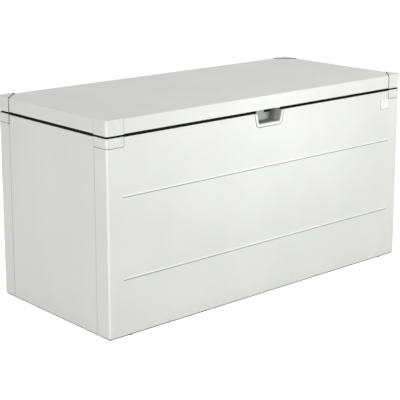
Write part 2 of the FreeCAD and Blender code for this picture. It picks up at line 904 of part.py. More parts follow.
def cut_lock_holes(body, start, length):
    """The hole for the lock's barrel and the slot for the keeper, through a lid plate."""
    barrel = [("lock_side", "lock_line", "lock_barrel + face_gap")]
    round_slab(body, "level", barrel, start, length, cut=True)
    slot = block(
        "lock_side - keeper_width / 2 - slot_gap",
        "grip_back - slot_front_gap",
        "lock_side + keeper_width / 2 + slot_gap",
        "grip_back + keeper_foot + slot_gap",
    )
    slab(body, "level", slot, start, length, cut=True)


def lock_plate():
    """Plate on the lid's tongue that the lock's barrel goes through."""
    body = new_body("lock_plate")
    place(body, z="lid_level + sheet")
    outline = block("-tongue_half", "2 * sheet - half_depth", "tongue_half", "tongue_end")
    slab(body, "level", outline, "0", "lock_plate_gauge")
    cut_lock_holes(body, "0", "lock_plate_gauge")


STIFFENER_PLACES = (-1, 0, 1)


def lid_stiffener(number):
    """A hat-shaped rail under the lid's sheet, from front to back."""
    body = new_body(f"lid_stiffener_{number + 2}")
    place(body, f"{number} * (half_width - hat_side)", "0", "lid_top - sheet")
    crown = "(hat_crown / 2)"
    brim = f"({crown} + hat_brim)"
    section = [
        (f"-{brim}", "0"),
        (f"hat_gauge - {crown}", "0"),
        (f"hat_gauge - {crown}", "hat_gauge - hat_height"),
        (f"{crown} - hat_gauge", "hat_gauge - hat_height"),
        (f"{crown} - hat_gauge", "0"),
        (brim, "0"),
        (brim, "-hat_gauge"),
        (crown, "-hat_gauge"),
        (crown, "-hat_height"),
        (f"-{crown}", "-hat_height"),
        (f"-{crown}", "-hat_gauge"),
        (f"-{brim}", "-hat_gauge"),
    ]
    half = "(half_depth - sheet - hat_end_gap)"
    slab(body, "across", section, f"-{half}", f"2 * {half}")


# Gas struts


def strut_anchor(side):
    """Plate hung from the side rail, with the headed pin that the strut's foot turns on."""
    body = new_body(f"strut_anchor_{side}")
    sign = SIDES[side]
    place(body, "0", "strut_foot_line", "strut_foot_level")
    half = "anchor_width / 2"
    top = "rim_level - strut_foot_level - anchor_drop"
    plate = block(f"-{half}", f"-{half}", half, top)
    inner = "(anchor_face - anchor_gauge)"
    collar_end = "(strut_plane + eye_width / 2 + face_gap)"
    pin_end = "(strut_plane - eye_width / 2 - face_gap)"
    head_end = f"({pin_end} - anchor_gauge)"
    slab(body, "along", plate, inner if sign == "1" else "-anchor_face", "anchor_gauge")
    steps = [
        ("anchor_collar", collar_end, inner),
        ("stud_radius", pin_end, collar_end),
        ("anchor_collar", head_end, pin_end),
    ]
    for radius, low, high in steps:
        start = low if sign == "1" else f"-{high}"
        round_slab(body, "along", [("0", "0", radius)], start, f"{high} - {low}")


def lean(body):
    """Sets a strut piece at its foot pin, leaning towards its top pin."""
    run = "strut_foot_line - strut_top_line"
    rise = "strut_top_level - strut_foot_level"
    angle = f"atan2({run}; {rise})"
    turned = FreeCAD.Rotation(FreeCAD.Vector(1, 0, 0), value(angle))
    body.Placement = FreeCAD.Placement(FreeCAD.Vector(0, 0, 0), turned)
    body.setExpression("Placement.Rotation.Angle", formula(angle))


def strut_tube(side):
    """The strut's pressure tube, with a cross-bored eye at its foot and a guide at its top."""
    body = new_body(f"strut_tube_{side}")
    lean(body)
    place(body, f"{SIDES[side]} * strut_plane", "strut_foot_line", "strut_foot_level")
    top = "(strut_length - strut_head)"
    guide = f"({top} - rod_guide)"
    tube = [
        ("0", "eye_radius"),
        ("tube_radius", "strut_neck"),
        ("tube_radius", f"{top} - sheet"),
        ("tube_radius - sheet", top),
        ("rod_radius + slide_gap", top),
        ("rod_radius + slide_gap", guide),
        ("tube_bore", guide),
        ("tube_bore", "strut_bottom"),
        ("0", "strut_bottom"),
    ]
    turn(body, tube)
    half = "eye_width / 2"
    neck = block(f"-{half}", "-eye_radius", half, "eye_radius")
    slab(body, "level", neck, "0", "strut_neck")
    round_slab(body, "along", [("0", "0", "eye_radius")], f"-{half}", "eye_width")
    bore = [("0", "0", "stud_radius + pin_gap")]
    round_slab(body, "along", bore, f"-{half}", "eye_width", cut=True)


def strut_rod(side):
    """The strut's rod and piston, with a socket and a stud that ends at the lid's bracket."""
    body = new_body(f"strut_rod_{side}")
    lean(body)
    place(body, f"{SIDES[side]} * strut_plane", "strut_foot_line", "strut_foot_level")
    piston = "strut_bottom + piston_rest"
    rod = [
        ("0", piston),
        ("tube_bore - piston_gap", piston),
        ("tube_bore - piston_gap", f"{piston} + piston_length"),
        ("rod_radius", f"{piston} + piston_length"),
        ("rod_radius", "strut_length - eye_radius"),
        ("0", "strut_length - eye_radius"),
    ]
    turn(body, rod)
    half = "eye_width / 2"
    neck = block(f"-{half}", f"-{half}", half, half)
    slab(body, "level", neck, "strut_length - strut_neck", "strut_neck")
    socket = [("0", "strut_length", "eye_radius")]
    round_slab(body, "along", socket, f"-{half}", "eye_width")
    stud = [("0", "strut_length", "stud_radius")]
    reach = "(anchor_face - strut_plane - anchor_gauge - face_gap)"
    start = "0" if side == "right" else f"-{reach}"
    round_slab(body, "along", stud, start, reach)


def lid_strut_bracket(side):
    """Angle under the lid's sheet that the strut's stud meets."""
    body = new_body(f"lid_strut_bracket_{side}")
    sign = SIDES[side]
    outer = f"{sign} * anchor_face"
    inner = f"{sign} * (anchor_face - anchor_gauge)"
    foot_edge = f"{sign} * (anchor_face + anchor_width / 2)"
    low = "strut_top_level - eye_radius"
    top = "lid_top - sheet"
    section = [
        (inner, low),
        (inner, top),
        (foot_edge, top),
        (foot_edge, f"{top} - anchor_gauge"),
        (outer, f"{top} - anchor_gauge"),
        (outer, low),
    ]
    slab(body, "across", section, "strut_top_line - anchor_width / 2", "anchor_width")


# Lock


def lock_barrel():
    """The lock's housing in the lid, with its bezel below, over the grip."""
    body = new_body("lock_barrel")
    place(body, "lock_side", "lock_line", "lid_level")
    bore = "lock_plug + slide_gap"
    profile = [
        (bore, "-lock_bezel_height"),
        ("lock_bezel", "-lock_bezel_height"),
        ("lock_bezel", "0"),
        ("lock_barrel", "0"),
        ("lock_barrel", "sheet + lock_length"),
        (bore, "sheet + lock_length"),
    ]
    turn(body, profile)


def lock_plug():
    """The plug that the key turns, with a keyway from below."""
    body = new_body("lock_plug")
    place(body, "lock_side", "lock_line", "lid_level")
    low = "-lock_bezel_height"
    top = "sheet + lock_length + face_gap"
    profile = [
        ("0", low),
        ("lock_plug", low),
        ("lock_plug", top),
        ("lock_stud", top),
        ("lock_stud", f"{top} + cam_gauge"),
        ("0", f"{top} + cam_gauge"),
    ]
    turn(body, profile)
    half_wide, half_long = "keyway_width / 2", "keyway_length / 2"
    keyway = block(f"-{half_wide}", f"-{half_long}", half_wide, half_long)
    slab(body, "level", keyway, low, "lock_bezel_height", cut=True)


def lock_cam():
    """The cam on the plug; at rest it lies along the front, and turned a quarter it is locked."""
    body = new_body("lock_cam")
    place(body, "lock_side", "lock_line", "cam_level + face_gap")
    half = "cam_width / 2"
    outline = block("-cam_length", f"-{half}", "0", half)
    slab(body, "level", outline, "0", "cam_gauge")
    round_slab(body, "level", [("0", "0", half)], "0", "cam_gauge")
    bore = [("0", "0", "lock_stud + slide_gap")]
    round_slab(body, "level", bore, "0", "cam_gauge", cut=True)


def keeper():
    """Hook on the grip's deck that the cam turns under."""
    body = new_body("lock_keeper")
    place(body, "lock_side", "grip_back", "rim_level")
    half = "(keeper_width / 2)"
    foot_outline = block(f"-{half}", "0", half, "keeper_foot")
    slab(body, "level", foot_outline, "0", "keeper_gauge")
    arm = "(cam_level + face_gap + cam_gauge + cam_clearance - rim_level)"
    inner = "(cam_width / 2 + cam_clearance)"
    hook = [
        (f"-{half}", "0"),
        (half, "0"),
        (half, f"{arm} + 2 * keeper_gauge"),
        (f"-{inner}", f"{arm} + 2 * keeper_gauge"),
        (f"-{inner}", arm),
        (inner, arm),
        (inner, "keeper_gauge"),
        (f"-{half}", "keeper_gauge"),
    ]
    slab(body, "across", hook, "0", "keeper_gauge")


front_panel()
wrapped_panel("back_panel", "1")
for side in SIDES:
    side_panel(side)
for end in ENDS:
    for side in SIDES:
        corner_post(end, side)
        body_cap(end, side)
        lid_cap(end, side)
        foot(end, side)
for side in SIDES:
    front_rim_rail(side)
    side_rim_rail(side)
    short_base_rail(side)
    leaf(side, "body")
    leaf(side, "lid")
    strut_anchor(side)
    strut_tube(side)
    strut_rod(side)
    lid_strut_bracket(side)
for end in ENDS:
    long_base_rail(end)
rear_rim_rail()
for number in range(PLANK_COUNT):
    floor_plank(number)
grip_cup()
rim_seal()
bare_plate()
hinge_pins()
hinge_rivets("body")
hinge_rivets("lid")
lid_panel()
lock_plate()
for number in STIFFENER_PLACES:
    lid_stiffener(number)
lock_barrel()
lock_plug()
lock_cam()
keeper()

doc.recompute()
for item in doc.Objects:
    if "Invalid" in item.State or "Error" in item.State:
        raise RuntimeError(f"{item.Label} failed: {item.State}")
for node in nodes:
    if node.Shape.isNull() or not node.Shape.isValid():
        raise RuntimeError(f"{node.Label} has no valid shape")
for node in nodes:
    node.Shape.exportStep(f"parts/{node.Label}.step")
    print(node.Label, len(node.Shape.Solids), round(node.Shape.Volume))
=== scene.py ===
import math

import bmesh
import bpy
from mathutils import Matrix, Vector


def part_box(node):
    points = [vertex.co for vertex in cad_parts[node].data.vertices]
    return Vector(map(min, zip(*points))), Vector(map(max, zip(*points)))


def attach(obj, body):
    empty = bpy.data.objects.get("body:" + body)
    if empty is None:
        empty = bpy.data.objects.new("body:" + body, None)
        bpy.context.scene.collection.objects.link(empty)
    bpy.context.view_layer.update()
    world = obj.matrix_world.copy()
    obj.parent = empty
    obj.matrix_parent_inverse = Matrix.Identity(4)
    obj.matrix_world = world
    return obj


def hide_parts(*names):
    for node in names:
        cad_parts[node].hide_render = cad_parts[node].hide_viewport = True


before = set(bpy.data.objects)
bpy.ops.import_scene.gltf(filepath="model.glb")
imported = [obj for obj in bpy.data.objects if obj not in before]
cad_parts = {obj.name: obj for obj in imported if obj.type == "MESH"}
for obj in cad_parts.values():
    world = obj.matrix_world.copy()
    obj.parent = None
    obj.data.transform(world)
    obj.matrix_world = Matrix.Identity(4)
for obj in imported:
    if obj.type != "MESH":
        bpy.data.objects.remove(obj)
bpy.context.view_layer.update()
bpy.ops.object.select_all(action="DESELECT")

# The view: an eye at standing height, a good four metres off the box's left front corner,
# looking slantwise over that corner and a little down on the lid. Angles are in degrees, the
# lens is in millimetres, and every other length is in metres.
EYE = (-3.201, -3.549, 1.608)
HEADING = 41.56
LOOK_DOWN = 12.19
LENS = 105.4
FRAME_SHIFT = -0.15

eye_data = bpy.data.cameras.new("eye")
eye_data.lens = LENS
eye_data.shift_y = FRAME_SHIFT
eye = bpy.data.objects.new("eye", eye_data)
eye.location = EYE
eye.rotation_euler = (math.radians(90 - LOOK_DOWN), 0, math.radians(-HEADING))
bpy.context.scene.collection.objects.link(eye)
bpy.context.scene.camera = eye
bpy.context.scene.view_settings.view_transform = "Standard"

# The studio: a dim white room with soft lamps all round the box and over it, the strongest
# before the front, and a pale floor that shows white. The box stands over a matt grey card
# without the floor's glow, which paints the shadow in the gap under the box.
# How bright the room is as a light, and where it is looked at.
ROOM_LIGHT = 0.366
ROOM_SEEN = 1.0
# The floor glows only where it is looked at.
FLOOR_GLOW = 0.86
FLOOR_GREY = 0.5
FLOOR_HALF = 30.0
CARD_HALF = (0.795, 0.345)
CARD_LIFT = 0.0002
CARD_GREY = 0.3
CARD_ROUGHNESS = 0.9
# Each lamp: its middle, the point it faces, its width and height, its power in watts, and
# whether the gloss of the coat mirrors it.
LAMPS = {
    "front_lamp": ((1.4, -3.9, 1.7), (0.2, -0.35, 0.5), 2.8, 1.4, 71.9, False),
    "near_lamp": ((0.0, -0.9, 0.8), (0.0, -0.35, 0.72), 0.3, 0.05, 0.58, False),
    "rim_lamp": ((0.1, -1.15, 1.1), (0.1, -0.35, 0.72), 2.2, 0.06, 2.2, False),
    "corner_lamp": ((-3.4, -2.9, 1.3), (-0.7, -0.3, 0.45), 1.2, 1.0, 28.2, False),
    "near_corner_lamp": ((-1.75, -1.4, 0.95), (-0.8, -0.35, 0.73), 0.3, 0.15, 0.88, False),
    "left_lamp": ((-3.6, -0.1, 0.5), (-0.8, -0.1, 0.4), 1.2, 0.9, 22.6, True),
    "lid_lamp": ((0.1, 0.2, 4.0), (0.1, 0.1, 0.8), 2.5, 2.0, 5.1, True),
    "high_lamp": ((0.2, -2.0, 3.6), (0.1, -0.1, 0.7), 2.0, 1.2, 9.3, True),
    "right_lamp": ((4.2, 1.5, 1.2), (0.6, 0.1, 0.4), 1.5, 1.2, 47.0, False),
    "back_lamp": ((-0.8, 4.3, 1.5), (-0.1, 0.3, 0.4), 2.2, 1.2, 56.7, False),
}


def seen_directly(tree):
    """One where the camera, a mirror or glass looks at a surface, and nought for soft light."""
    path = tree.nodes.new("ShaderNodeLightPath")
    seen = path.outputs["Is Camera Ray"]
    for ray in ("Is Glossy Ray", "Is Transmission Ray"):
        either = tree.nodes.new("ShaderNodeMath")
        either.operation = "MAXIMUM"
        tree.links.new(seen, either.inputs[0])
        tree.links.new(path.outputs[ray], either.inputs[1])
        seen = either.outputs[0]
    return seen


room = bpy.data.worlds.new("room")
room.use_nodes = True
bpy.context.scene.world = room
room_light = room.node_tree.nodes["Background"]
room_light.inputs["Color"].default_value = (1, 1, 1, 1)
room_level = room.node_tree.nodes.new("ShaderNodeMapRange")
room_level.inputs["To Min"].default_value = ROOM_LIGHT
room_level.inputs["To Max"].default_value = ROOM_SEEN
room.node_tree.links.new(seen_directly(room.node_tree), room_level.inputs["Value"])
room.node_tree.links.new(room_level.outputs[0], room_light.inputs["Strength"])

bpy.ops.mesh.primitive_plane_add(size=2 * FLOOR_HALF, location=(0, 0, 0))
floor = bpy.context.object
floor.name = "studio_floor"
floor_paint = bpy.data.materials.new("studio_floor")
floor_paint.use_nodes = True
floor_tree = floor_paint.node_tree
floor_tree.nodes.remove(floor_tree.nodes["Principled BSDF"])
floor_matt = floor_tree.nodes.new("ShaderNodeBsdfDiffuse")
floor_matt.inputs["Color"].default_value = (FLOOR_GREY, FLOOR_GREY, FLOOR_GREY, 1)
floor_glow = floor_tree.nodes.new("ShaderNodeEmission")
floor_level = floor_tree.nodes.new("ShaderNodeMath")
floor_level.operation = "MULTIPLY"
floor_level.inputs[1].default_value = FLOOR_GLOW
floor_tree.links.new(seen_directly(floor_tree), floor_level.inputs[0])
floor_tree.links.new(floor_level.outputs[0], floor_glow.inputs["Strength"])
floor_sum = floor_tree.nodes.new("ShaderNodeAddShader")
floor_tree.links.new(floor_matt.outputs[0], floor_sum.inputs[0])
floor_tree.links.new(floor_glow.outputs[0], floor_sum.inputs[1])
floor_tree.links.new(floor_sum.outputs[0], floor_tree.nodes["Material Output"].inputs["Surface"])
floor.data.materials.append(floor_paint)

bpy.ops.object.select_all(action="DESELECT")
bpy.ops.mesh.primitive_plane_add(size=2, location=(0, 0, CARD_LIFT))
card = bpy.context.object
card.name = "studio_card"
card.scale = (*CARD_HALF, 1)
bpy.ops.object.transform_apply(location=True, rotation=True, scale=True)
card_paint = bpy.data.materials.new("studio_card")
card_paint.use_nodes = True
card_shader = card_paint.node_tree.nodes["Principled BSDF"]
card_shader.inputs["Base Color"].default_value = (CARD_GREY, CARD_GREY, CARD_GREY, 1)
card_shader.inputs["Roughness"].default_value = CARD_ROUGHNESS
card.data.materials.append(card_paint)

for lamp_name, (middle, aim, wide, high, power, shines) in LAMPS.items():
    lamp_data = bpy.data.lights.new(lamp_name, "AREA")
    lamp_data.shape = "RECTANGLE"
    lamp_data.size = wide
    lamp_data.size_y = high
    lamp_data.energy = power
    lamp = bpy.data.objects.new(lamp_name, lamp_data)
    lamp.location = middle
    lamp.rotation_euler = (Vector(aim) - Vector(middle)).to_track_quat("-Z", "Y").to_euler()
    lamp.visible_camera = False
    lamp.visible_glossy = shines
    bpy.context.scene.collection.objects.link(lamp)

# The folded steel panels and the lid: one millimetre sheet, bent round the corners and
# powder coated a faintly warm white, with the fine orange peel that the powder leaves. A
# highlight is painted whiter into the coat's colour along the upright bends and on the crests
# of the two ridges pressed in the front.
COAT_WHITE = (0.775, 0.785, 0.755)
COAT_SHADE = (0.745, 0.755, 0.725)
COAT_DUST = (0.70, 0.70, 0.665)
COAT_PAINTED_HIGHLIGHT = (0.955, 0.965, 0.945)
PEEL_SIZE = 0.0022
PEEL_HEIGHT = 0.00002
DUST_FULL = 0.006
DUST_TOP = 0.04
BEND_MIDDLE = (0.787, 0.337)
PANEL_BEND = 0.013
FRONT_FACE = -0.350
# The painted highlight on a bend begins at the first of these angles off its middle and is
# whitest at the second, and on a ridge at the first of these heights over the front face and
# whitest at the second.
BEND_HIGHLIGHT = (18, 8)
RIDGE_HIGHLIGHT = (0.0007, 0.0013)
# The levels between which nearly all of a noise lies, and those of its middle.
MOST = (0.3, 0.7)
MIDDLE = (0.35, 0.65)


class Finish:
    """A finish under way: its material, shader and the nodes that are added to it."""

    def __init__(self, name, roughness, metallic=0.0, specular=0.5):
        self.material = bpy.data.materials.new(name)
        self.material.use_nodes = True
        self.tree = self.material.node_tree
        self.shader = self.tree.nodes["Principled BSDF"]
        self.shader.inputs["Roughness"].default_value = roughness
        self.shader.inputs["Metallic"].default_value = metallic
        self.shader.inputs["Specular IOR Level"].default_value = specular
        self.place = self.tree.nodes.new("ShaderNodeTexCoord").outputs["Object"]

    def link(self, source, target):
        self.tree.links.new(source, target)

    def noise(self, size, stretch=(1, 1, 1), detail=2.0):
        """Cloudy noise, its blotches about size metres across and longer where stretch is under one."""
        mapping = self.tree.nodes.new("ShaderNodeMapping")
        mapping.inputs["Scale"].default_value = stretch
        self.link(self.place, mapping.inputs["Vector"])
        noise = self.tree.nodes.new("ShaderNodeTexNoise")
        noise.inputs["Scale"].default_value = 1 / size
        noise.inputs["Detail"].default_value = detail
        self.link(mapping.outputs[0], noise.inputs["Vector"])
        return noise.outputs["Fac"]

    def cells(self, size):
        """A different level in each of many small cells about size metres across."""
        cells = self.tree.nodes.new("ShaderNodeTexVoronoi")
        cells.inputs["Scale"].default_value = 1 / size
        self.link(self.place, cells.inputs["Vector"])
        split = self.tree.nodes.new("ShaderNodeSeparateColor")
        self.link(cells.outputs["Color"], split.inputs[0])
        return split.outputs[0]

    def along(self, axis):
        """Where a point of the piece lies along X, Y or Z, in metres."""
        split = self.tree.nodes.new("ShaderNodeSeparateXYZ")
        self.link(self.place, split.inputs[0])
        return split.outputs[axis]

    def reckon(self, operation, *values):
        """The result of one step of arithmetic on one or two values."""
        step = self.tree.nodes.new("ShaderNodeMath")
        step.operation = operation
        for value, target in zip(values, step.inputs):
            self.link(value, target)
        return step.outputs[0]

    def on_bend(self, radius):
        """One along the middle of each of the box's four upright bends of this radius."""
        outwards = self.reckon(
            "ADD",
            self.reckon("ABSOLUTE", self.along("X")),
            self.reckon("ABSOLUTE", self.along("Y")),
        )
        reach = [
            sum(BEND_MIDDLE) + radius * math.sqrt(2) * math.cos(math.radians(turn))
            for turn in BEND_HIGHLIGHT
        ]
        return self.spread(outwards, *reach)

    def from_line(self, across, back):
        """How far a point is, level, from the upright line there or from its twin on the left."""
        level = self.tree.nodes.new("ShaderNodeCombineXYZ")
        self.link(self.reckon("ABSOLUTE", self.along("X")), level.inputs["X"])
        self.link(self.along("Y"), level.inputs["Y"])
        distance = self.tree.nodes.new("ShaderNodeVectorMath")
        distance.operation = "DISTANCE"
        distance.inputs[1].default_value = (across, back, 0)
        self.link(level.outputs[0], distance.inputs[0])
        return distance.outputs["Value"]

    def spread(self, source, low, high, out_low=0.0, out_high=1.0):
        """Stretches a value between low and high to the given range, and holds it there."""
        spread = self.tree.nodes.new("ShaderNodeMapRange")
        limits = {"From Min": low, "From Max": high, "To Min": out_low, "To Max": out_high}
        for name, number in limits.items():
            spread.inputs[name].default_value = number
        self.link(source, spread.inputs["Value"])
        return spread.outputs[0]

    def blend(self, factor, first, second):
        """A colour between two; each is a colour or the output of another blend."""
        mix = self.tree.nodes.new("ShaderNodeMix")
        mix.data_type = "RGBA"
        self.link(factor, mix.inputs["Factor"])
        for name, colour in (("A", first), ("B", second)):
            socket = [s for s in mix.inputs if s.name == name and s.type == "RGBA"][0]
            if isinstance(colour, tuple):
                socket.default_value = (*colour, 1)
            else:
                self.link(colour, socket)
        return [s for s in mix.outputs if s.type == "RGBA"][0]

    def colour(self, source):
        self.link(source, self.shader.inputs["Base Color"])

    def mottle(self, pattern, first, second, levels=MIDDLE):
        """Colours it from first to second where the pattern rises between two levels."""
        self.colour(self.blend(self.spread(pattern, *levels), first, second))

    def gloss(self, pattern, smooth, rough, levels=MOST):
        """Makes it smooth to rough where the pattern rises between two levels."""
        self.link(self.spread(pattern, *levels, smooth, rough), self.shader.inputs["Roughness"])

    def relief(self, source, height):
        """Bumps the surface by height metres."""
        bump = self.tree.nodes.new("ShaderNodeBump")
        bump.inputs["Distance"].default_value = height
        self.link(source, bump.inputs["Height"])
        self.link(bump.outputs[0], self.shader.inputs["Normal"])


def paint(finish, *names):
    """Gives CAD nodes their finish."""
    for name in names:
        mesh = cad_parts[name].data
        mesh.materials.clear()
        mesh.materials.append(finish.material)


coat = Finish("coated_steel", roughness=0.34)
tone = coat.blend(coat.spread(coat.noise(size=0.35), *MIDDLE), COAT_WHITE, COAT_SHADE)
splash = coat.reckon(
    "MULTIPLY",
    coat.spread(coat.along("Z"), DUST_FULL, DUST_TOP, 1.0, 0.0),
    coat.spread(coat.noise(size=0.03, detail=5.0), 0.4, 0.8),
)
# The painted highlight: whiter along the upright bends and on the crests of the ridges.
painted_highlight = coat.reckon(
    "MAXIMUM",
    coat.on_bend(PANEL_BEND),
    coat.spread(coat.along("Y"), *(FRONT_FACE - height for height in RIDGE_HIGHLIGHT)),
)
coat.colour(coat.blend(painted_highlight, coat.blend(splash, tone, COAT_DUST), COAT_PAINTED_HIGHLIGHT))
coat.gloss(coat.noise(size=0.09, detail=4.0), smooth=0.31, rough=0.38)
coat.relief(coat.noise(PEEL_SIZE), PEEL_HEIGHT)
paint(coat, "front_panel", "back_panel", "side_panel_left", "side_panel_right", "lid_panel")

# The corner caps: injection moulded plastic in the colour of the coat, a little duller than
# it and finely grained, snapped over the panel corners and the lid corners.
CAP_WHITE = (0.77, 0.78, 0.75)
CAP_SHADE = (0.74, 0.75, 0.72)
CAP_PAINTED_HIGHLIGHT = (0.94, 0.95, 0.93)
CAP_BEND = 0.015
GRAIN_SIZE = 0.0009
ENDS = ("front", "back")
SIDES = ("left", "right")

cap = Finish("cap_plastic", roughness=0.42)
cap_tone = cap.blend(cap.spread(cap.noise(size=0.05), *MIDDLE), CAP_WHITE, CAP_SHADE)
# A painted highlight: whiter along the middle of each cap's upright bend.
cap.colour(cap.blend(cap.on_bend(CAP_BEND), cap_tone, CAP_PAINTED_HIGHLIGHT))
cap.gloss(cap.noise(size=0.02, detail=3.0), smooth=0.38, rough=0.46)
cap.relief(cap.noise(GRAIN_SIZE, detail=1.0), height=0.000015)
for end in ENDS:
    for side in SIDES:
        paint(cap, f"body_cap_{end}_{side}", f"lid_cap_{end}_{side}")

# The dark edges of the caps: a thin black strip along each free edge of a cap, on the
# step between the cap and the coated sheet. It is painted shadow and shows as a thin dark line.
SHADOW_EDGE_WIDE = 0.0018
SHADOW_EDGE_PROUD = 0.0012
SHADOW_EDGE_ROUND = 0.0003
SHADOW_EDGE_WIDER_ABOVE = 0.0012
RUBBER_AND_SHADOW_BLACK = (0.006, 0.006, 0.006)
RUBBER_AND_SHADOW_GREY = (0.011, 0.011, 0.011)
# Places closer together than this count as one.
SAME_PLACE = 1e-5
# A face or an edge that points mainly, or partly, along an axis has at least this share of it.
MAINLY = 0.9
PARTLY = 0.5


def near(value, target):
    return abs(value - target) < SAME_PLACE


def block(name, low, high):
    """A box between two corners."""
    bpy.ops.object.select_all(action="DESELECT")
    middle = [(a + b) / 2 for a, b in zip(low, high)]
    bpy.ops.mesh.primitive_cube_add(size=1, location=middle)
    piece = bpy.context.object
    piece.name = piece.data.name = name
    piece.scale = [b - a for a, b in zip(low, high)]
    bpy.ops.object.transform_apply(location=True, rotation=True, scale=True)
    return piece


def sheet(name, low, high):
    """A flat rectangle between two corners; it faces -Y if it stands, and up if it lies."""
    bpy.ops.object.select_all(action="DESELECT")
    middle = [(a + b) / 2 for a, b in zip(low, high)]
    standing = near(high[1], low[1])
    tilt = math.pi / 2 if standing else 0
    bpy.ops.mesh.primitive_plane_add(size=1, location=middle, rotation=(tilt, 0, 0))
    piece = bpy.context.object
    piece.name = piece.data.name = name
    piece.scale = (high[0] - low[0], high[2] - low[2] if standing else high[1] - low[1], 1)
    bpy.ops.object.transform_apply(location=True, rotation=True, scale=True)
    return piece


def take(piece):
    """Selects one piece and nothing else."""
    bpy.ops.object.select_all(action="DESELECT")
    piece.select_set(True)
    bpy.context.view_layer.objects.active = piece


def open_up(piece):
    """Opens a piece for editing."""
    take(piece)
    bpy.ops.object.mode_set(mode="EDIT")


def close_up():
    bpy.ops.object.mode_set(mode="OBJECT")


def pick(kind, test):
    """Selects the faces, edges or points of the open piece that pass the test.

    The test takes the place and, for a face or point its normal, for an edge its direction."""
    bpy.ops.mesh.select_mode(type=kind)
    bpy.ops.mesh.select_all(action="DESELECT")
    mesh = bmesh.from_edit_mesh(bpy.context.edit_object.data)
    if kind == "FACE":
        chosen = [face for face in mesh.faces if test(face.calc_center_median(), face.normal)]
    elif kind == "EDGE":
        ends = [(edge, edge.verts[0].co, edge.verts[1].co) for edge in mesh.edges]
        chosen = [edge for edge, a, b in ends if test((a + b) / 2, (b - a).normalized())]
    else:
        chosen = [point for point in mesh.verts if test(point.co, point.normal)]
    for part in chosen:
        part.select_set(True)
    bmesh.update_edit_mesh(bpy.context.edit_object.data)


def cut_away(test):
    """Deletes the faces of the open piece that pass the test."""
    pick("FACE", test)
    bpy.ops.mesh.delete(type="FACE")


def pull(move):
    """Extrudes what is selected and moves it."""
    bpy.ops.mesh.extrude_region_move(TRANSFORM_OT_translate={"value": move})


def face_outwards():
    """Turns every face of the open piece outwards."""
    bpy.ops.mesh.select_all(action="SELECT")
    bpy.ops.mesh.normals_make_consistent(inside=False)


def modify(piece, kind, **settings):
    """Adds a modifier to the piece and applies it."""
    modifier = piece.modifiers.new(kind.lower(), kind)
    for name, value in settings.items():
        setattr(modifier, name, value)
    bpy.context.view_layer.objects.active = piece
    bpy.ops.object.modifier_apply(modifier=modifier.name)


def soften(piece, width, segments=2, angle=40):
    """Rounds every edge of the piece that is sharper than angle."""
    modify(
        piece, "BEVEL", width=width, segments=segments, limit_method="ANGLE",
        angle_limit=math.radians(angle), harden_normals=False,
    )


def twin_of(piece, name, flip_x=False, flip_y=False):
    """A copy of the piece with its own mesh, mirrored across the box where that is asked."""
    take(piece)
    bpy.ops.object.duplicate()
    twin = bpy.context.object
    twin.name = twin.data.name = name
    twin.scale = (-1 if flip_x else 1, -1 if flip_y else 1, 1)
    bpy.ops.object.transform_apply(location=True, rotation=True, scale=True)
    open_up(twin)
    face_outwards()
    close_up()
    return twin


def at_each_corner(piece, name):
    """The piece at the front left and its mirrored twins at the other three corners."""
    pieces = [piece]
    for end in ENDS:
        for side in SIDES:
            if (end, side) != ("front", "left"):
                pieces.append(twin_of(
                    piece, f"{name}_{end}_{side}", flip_x=side == "right", flip_y=end == "back",
                ))
    return pieces


def fit(piece, finish, body, angle=35):
    """Smooths a finished piece, gives it its finish and fastens it to its body."""
    take(piece)
    bpy.ops.object.shade_smooth_by_angle(angle=math.radians(angle))
    piece.data.materials.clear()
    piece.data.materials.append(finish.material)
    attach(piece, body)


# Black rubber for the seal and the foam; the same black makes the strips that are painted shadow along the
# caps and on the tray's back.
rubber_and_shadow = Finish("seal_rubber", roughness=0.8, specular=0.12)
rubber_and_shadow.mottle(rubber_and_shadow.noise(size=0.004), RUBBER_AND_SHADOW_BLACK, RUBBER_AND_SHADOW_GREY, levels=(0.4, 0.7))
rubber_and_shadow.relief(rubber_and_shadow.noise(size=0.0012), height=0.00003)

cap_low, cap_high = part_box("body_cap_front_left")
sheet_low, sheet_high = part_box("lid_panel")
rim_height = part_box("front_panel")[1].z
body_shadow_edge = sheet(
    "body_cap_shadow_edge_front_left",
    (sheet_low.x, sheet_low.y, cap_low.z - SHADOW_EDGE_WIDE),
    (cap_high.x + SHADOW_EDGE_WIDE, sheet_low.y, rim_height),
)
open_up(body_shadow_edge)
pick("EDGE", lambda place, way: near(place.x, sheet_low.x))
pull((0, cap_high.y + SHADOW_EDGE_WIDE - sheet_low.y, 0))
pick("EDGE", lambda place, way: near(place.x, sheet_low.x) and near(place.y, sheet_low.y))
bpy.ops.mesh.bevel(offset=PANEL_BEND, segments=6, affect="EDGES")
bpy.ops.mesh.select_all(action="SELECT")
bpy.ops.mesh.inset(thickness=SHADOW_EDGE_WIDE, depth=0)
bpy.ops.mesh.delete(type="FACE")
cut_away(lambda place, normal: place.z > rim_height - SHADOW_EDGE_WIDE)
close_up()

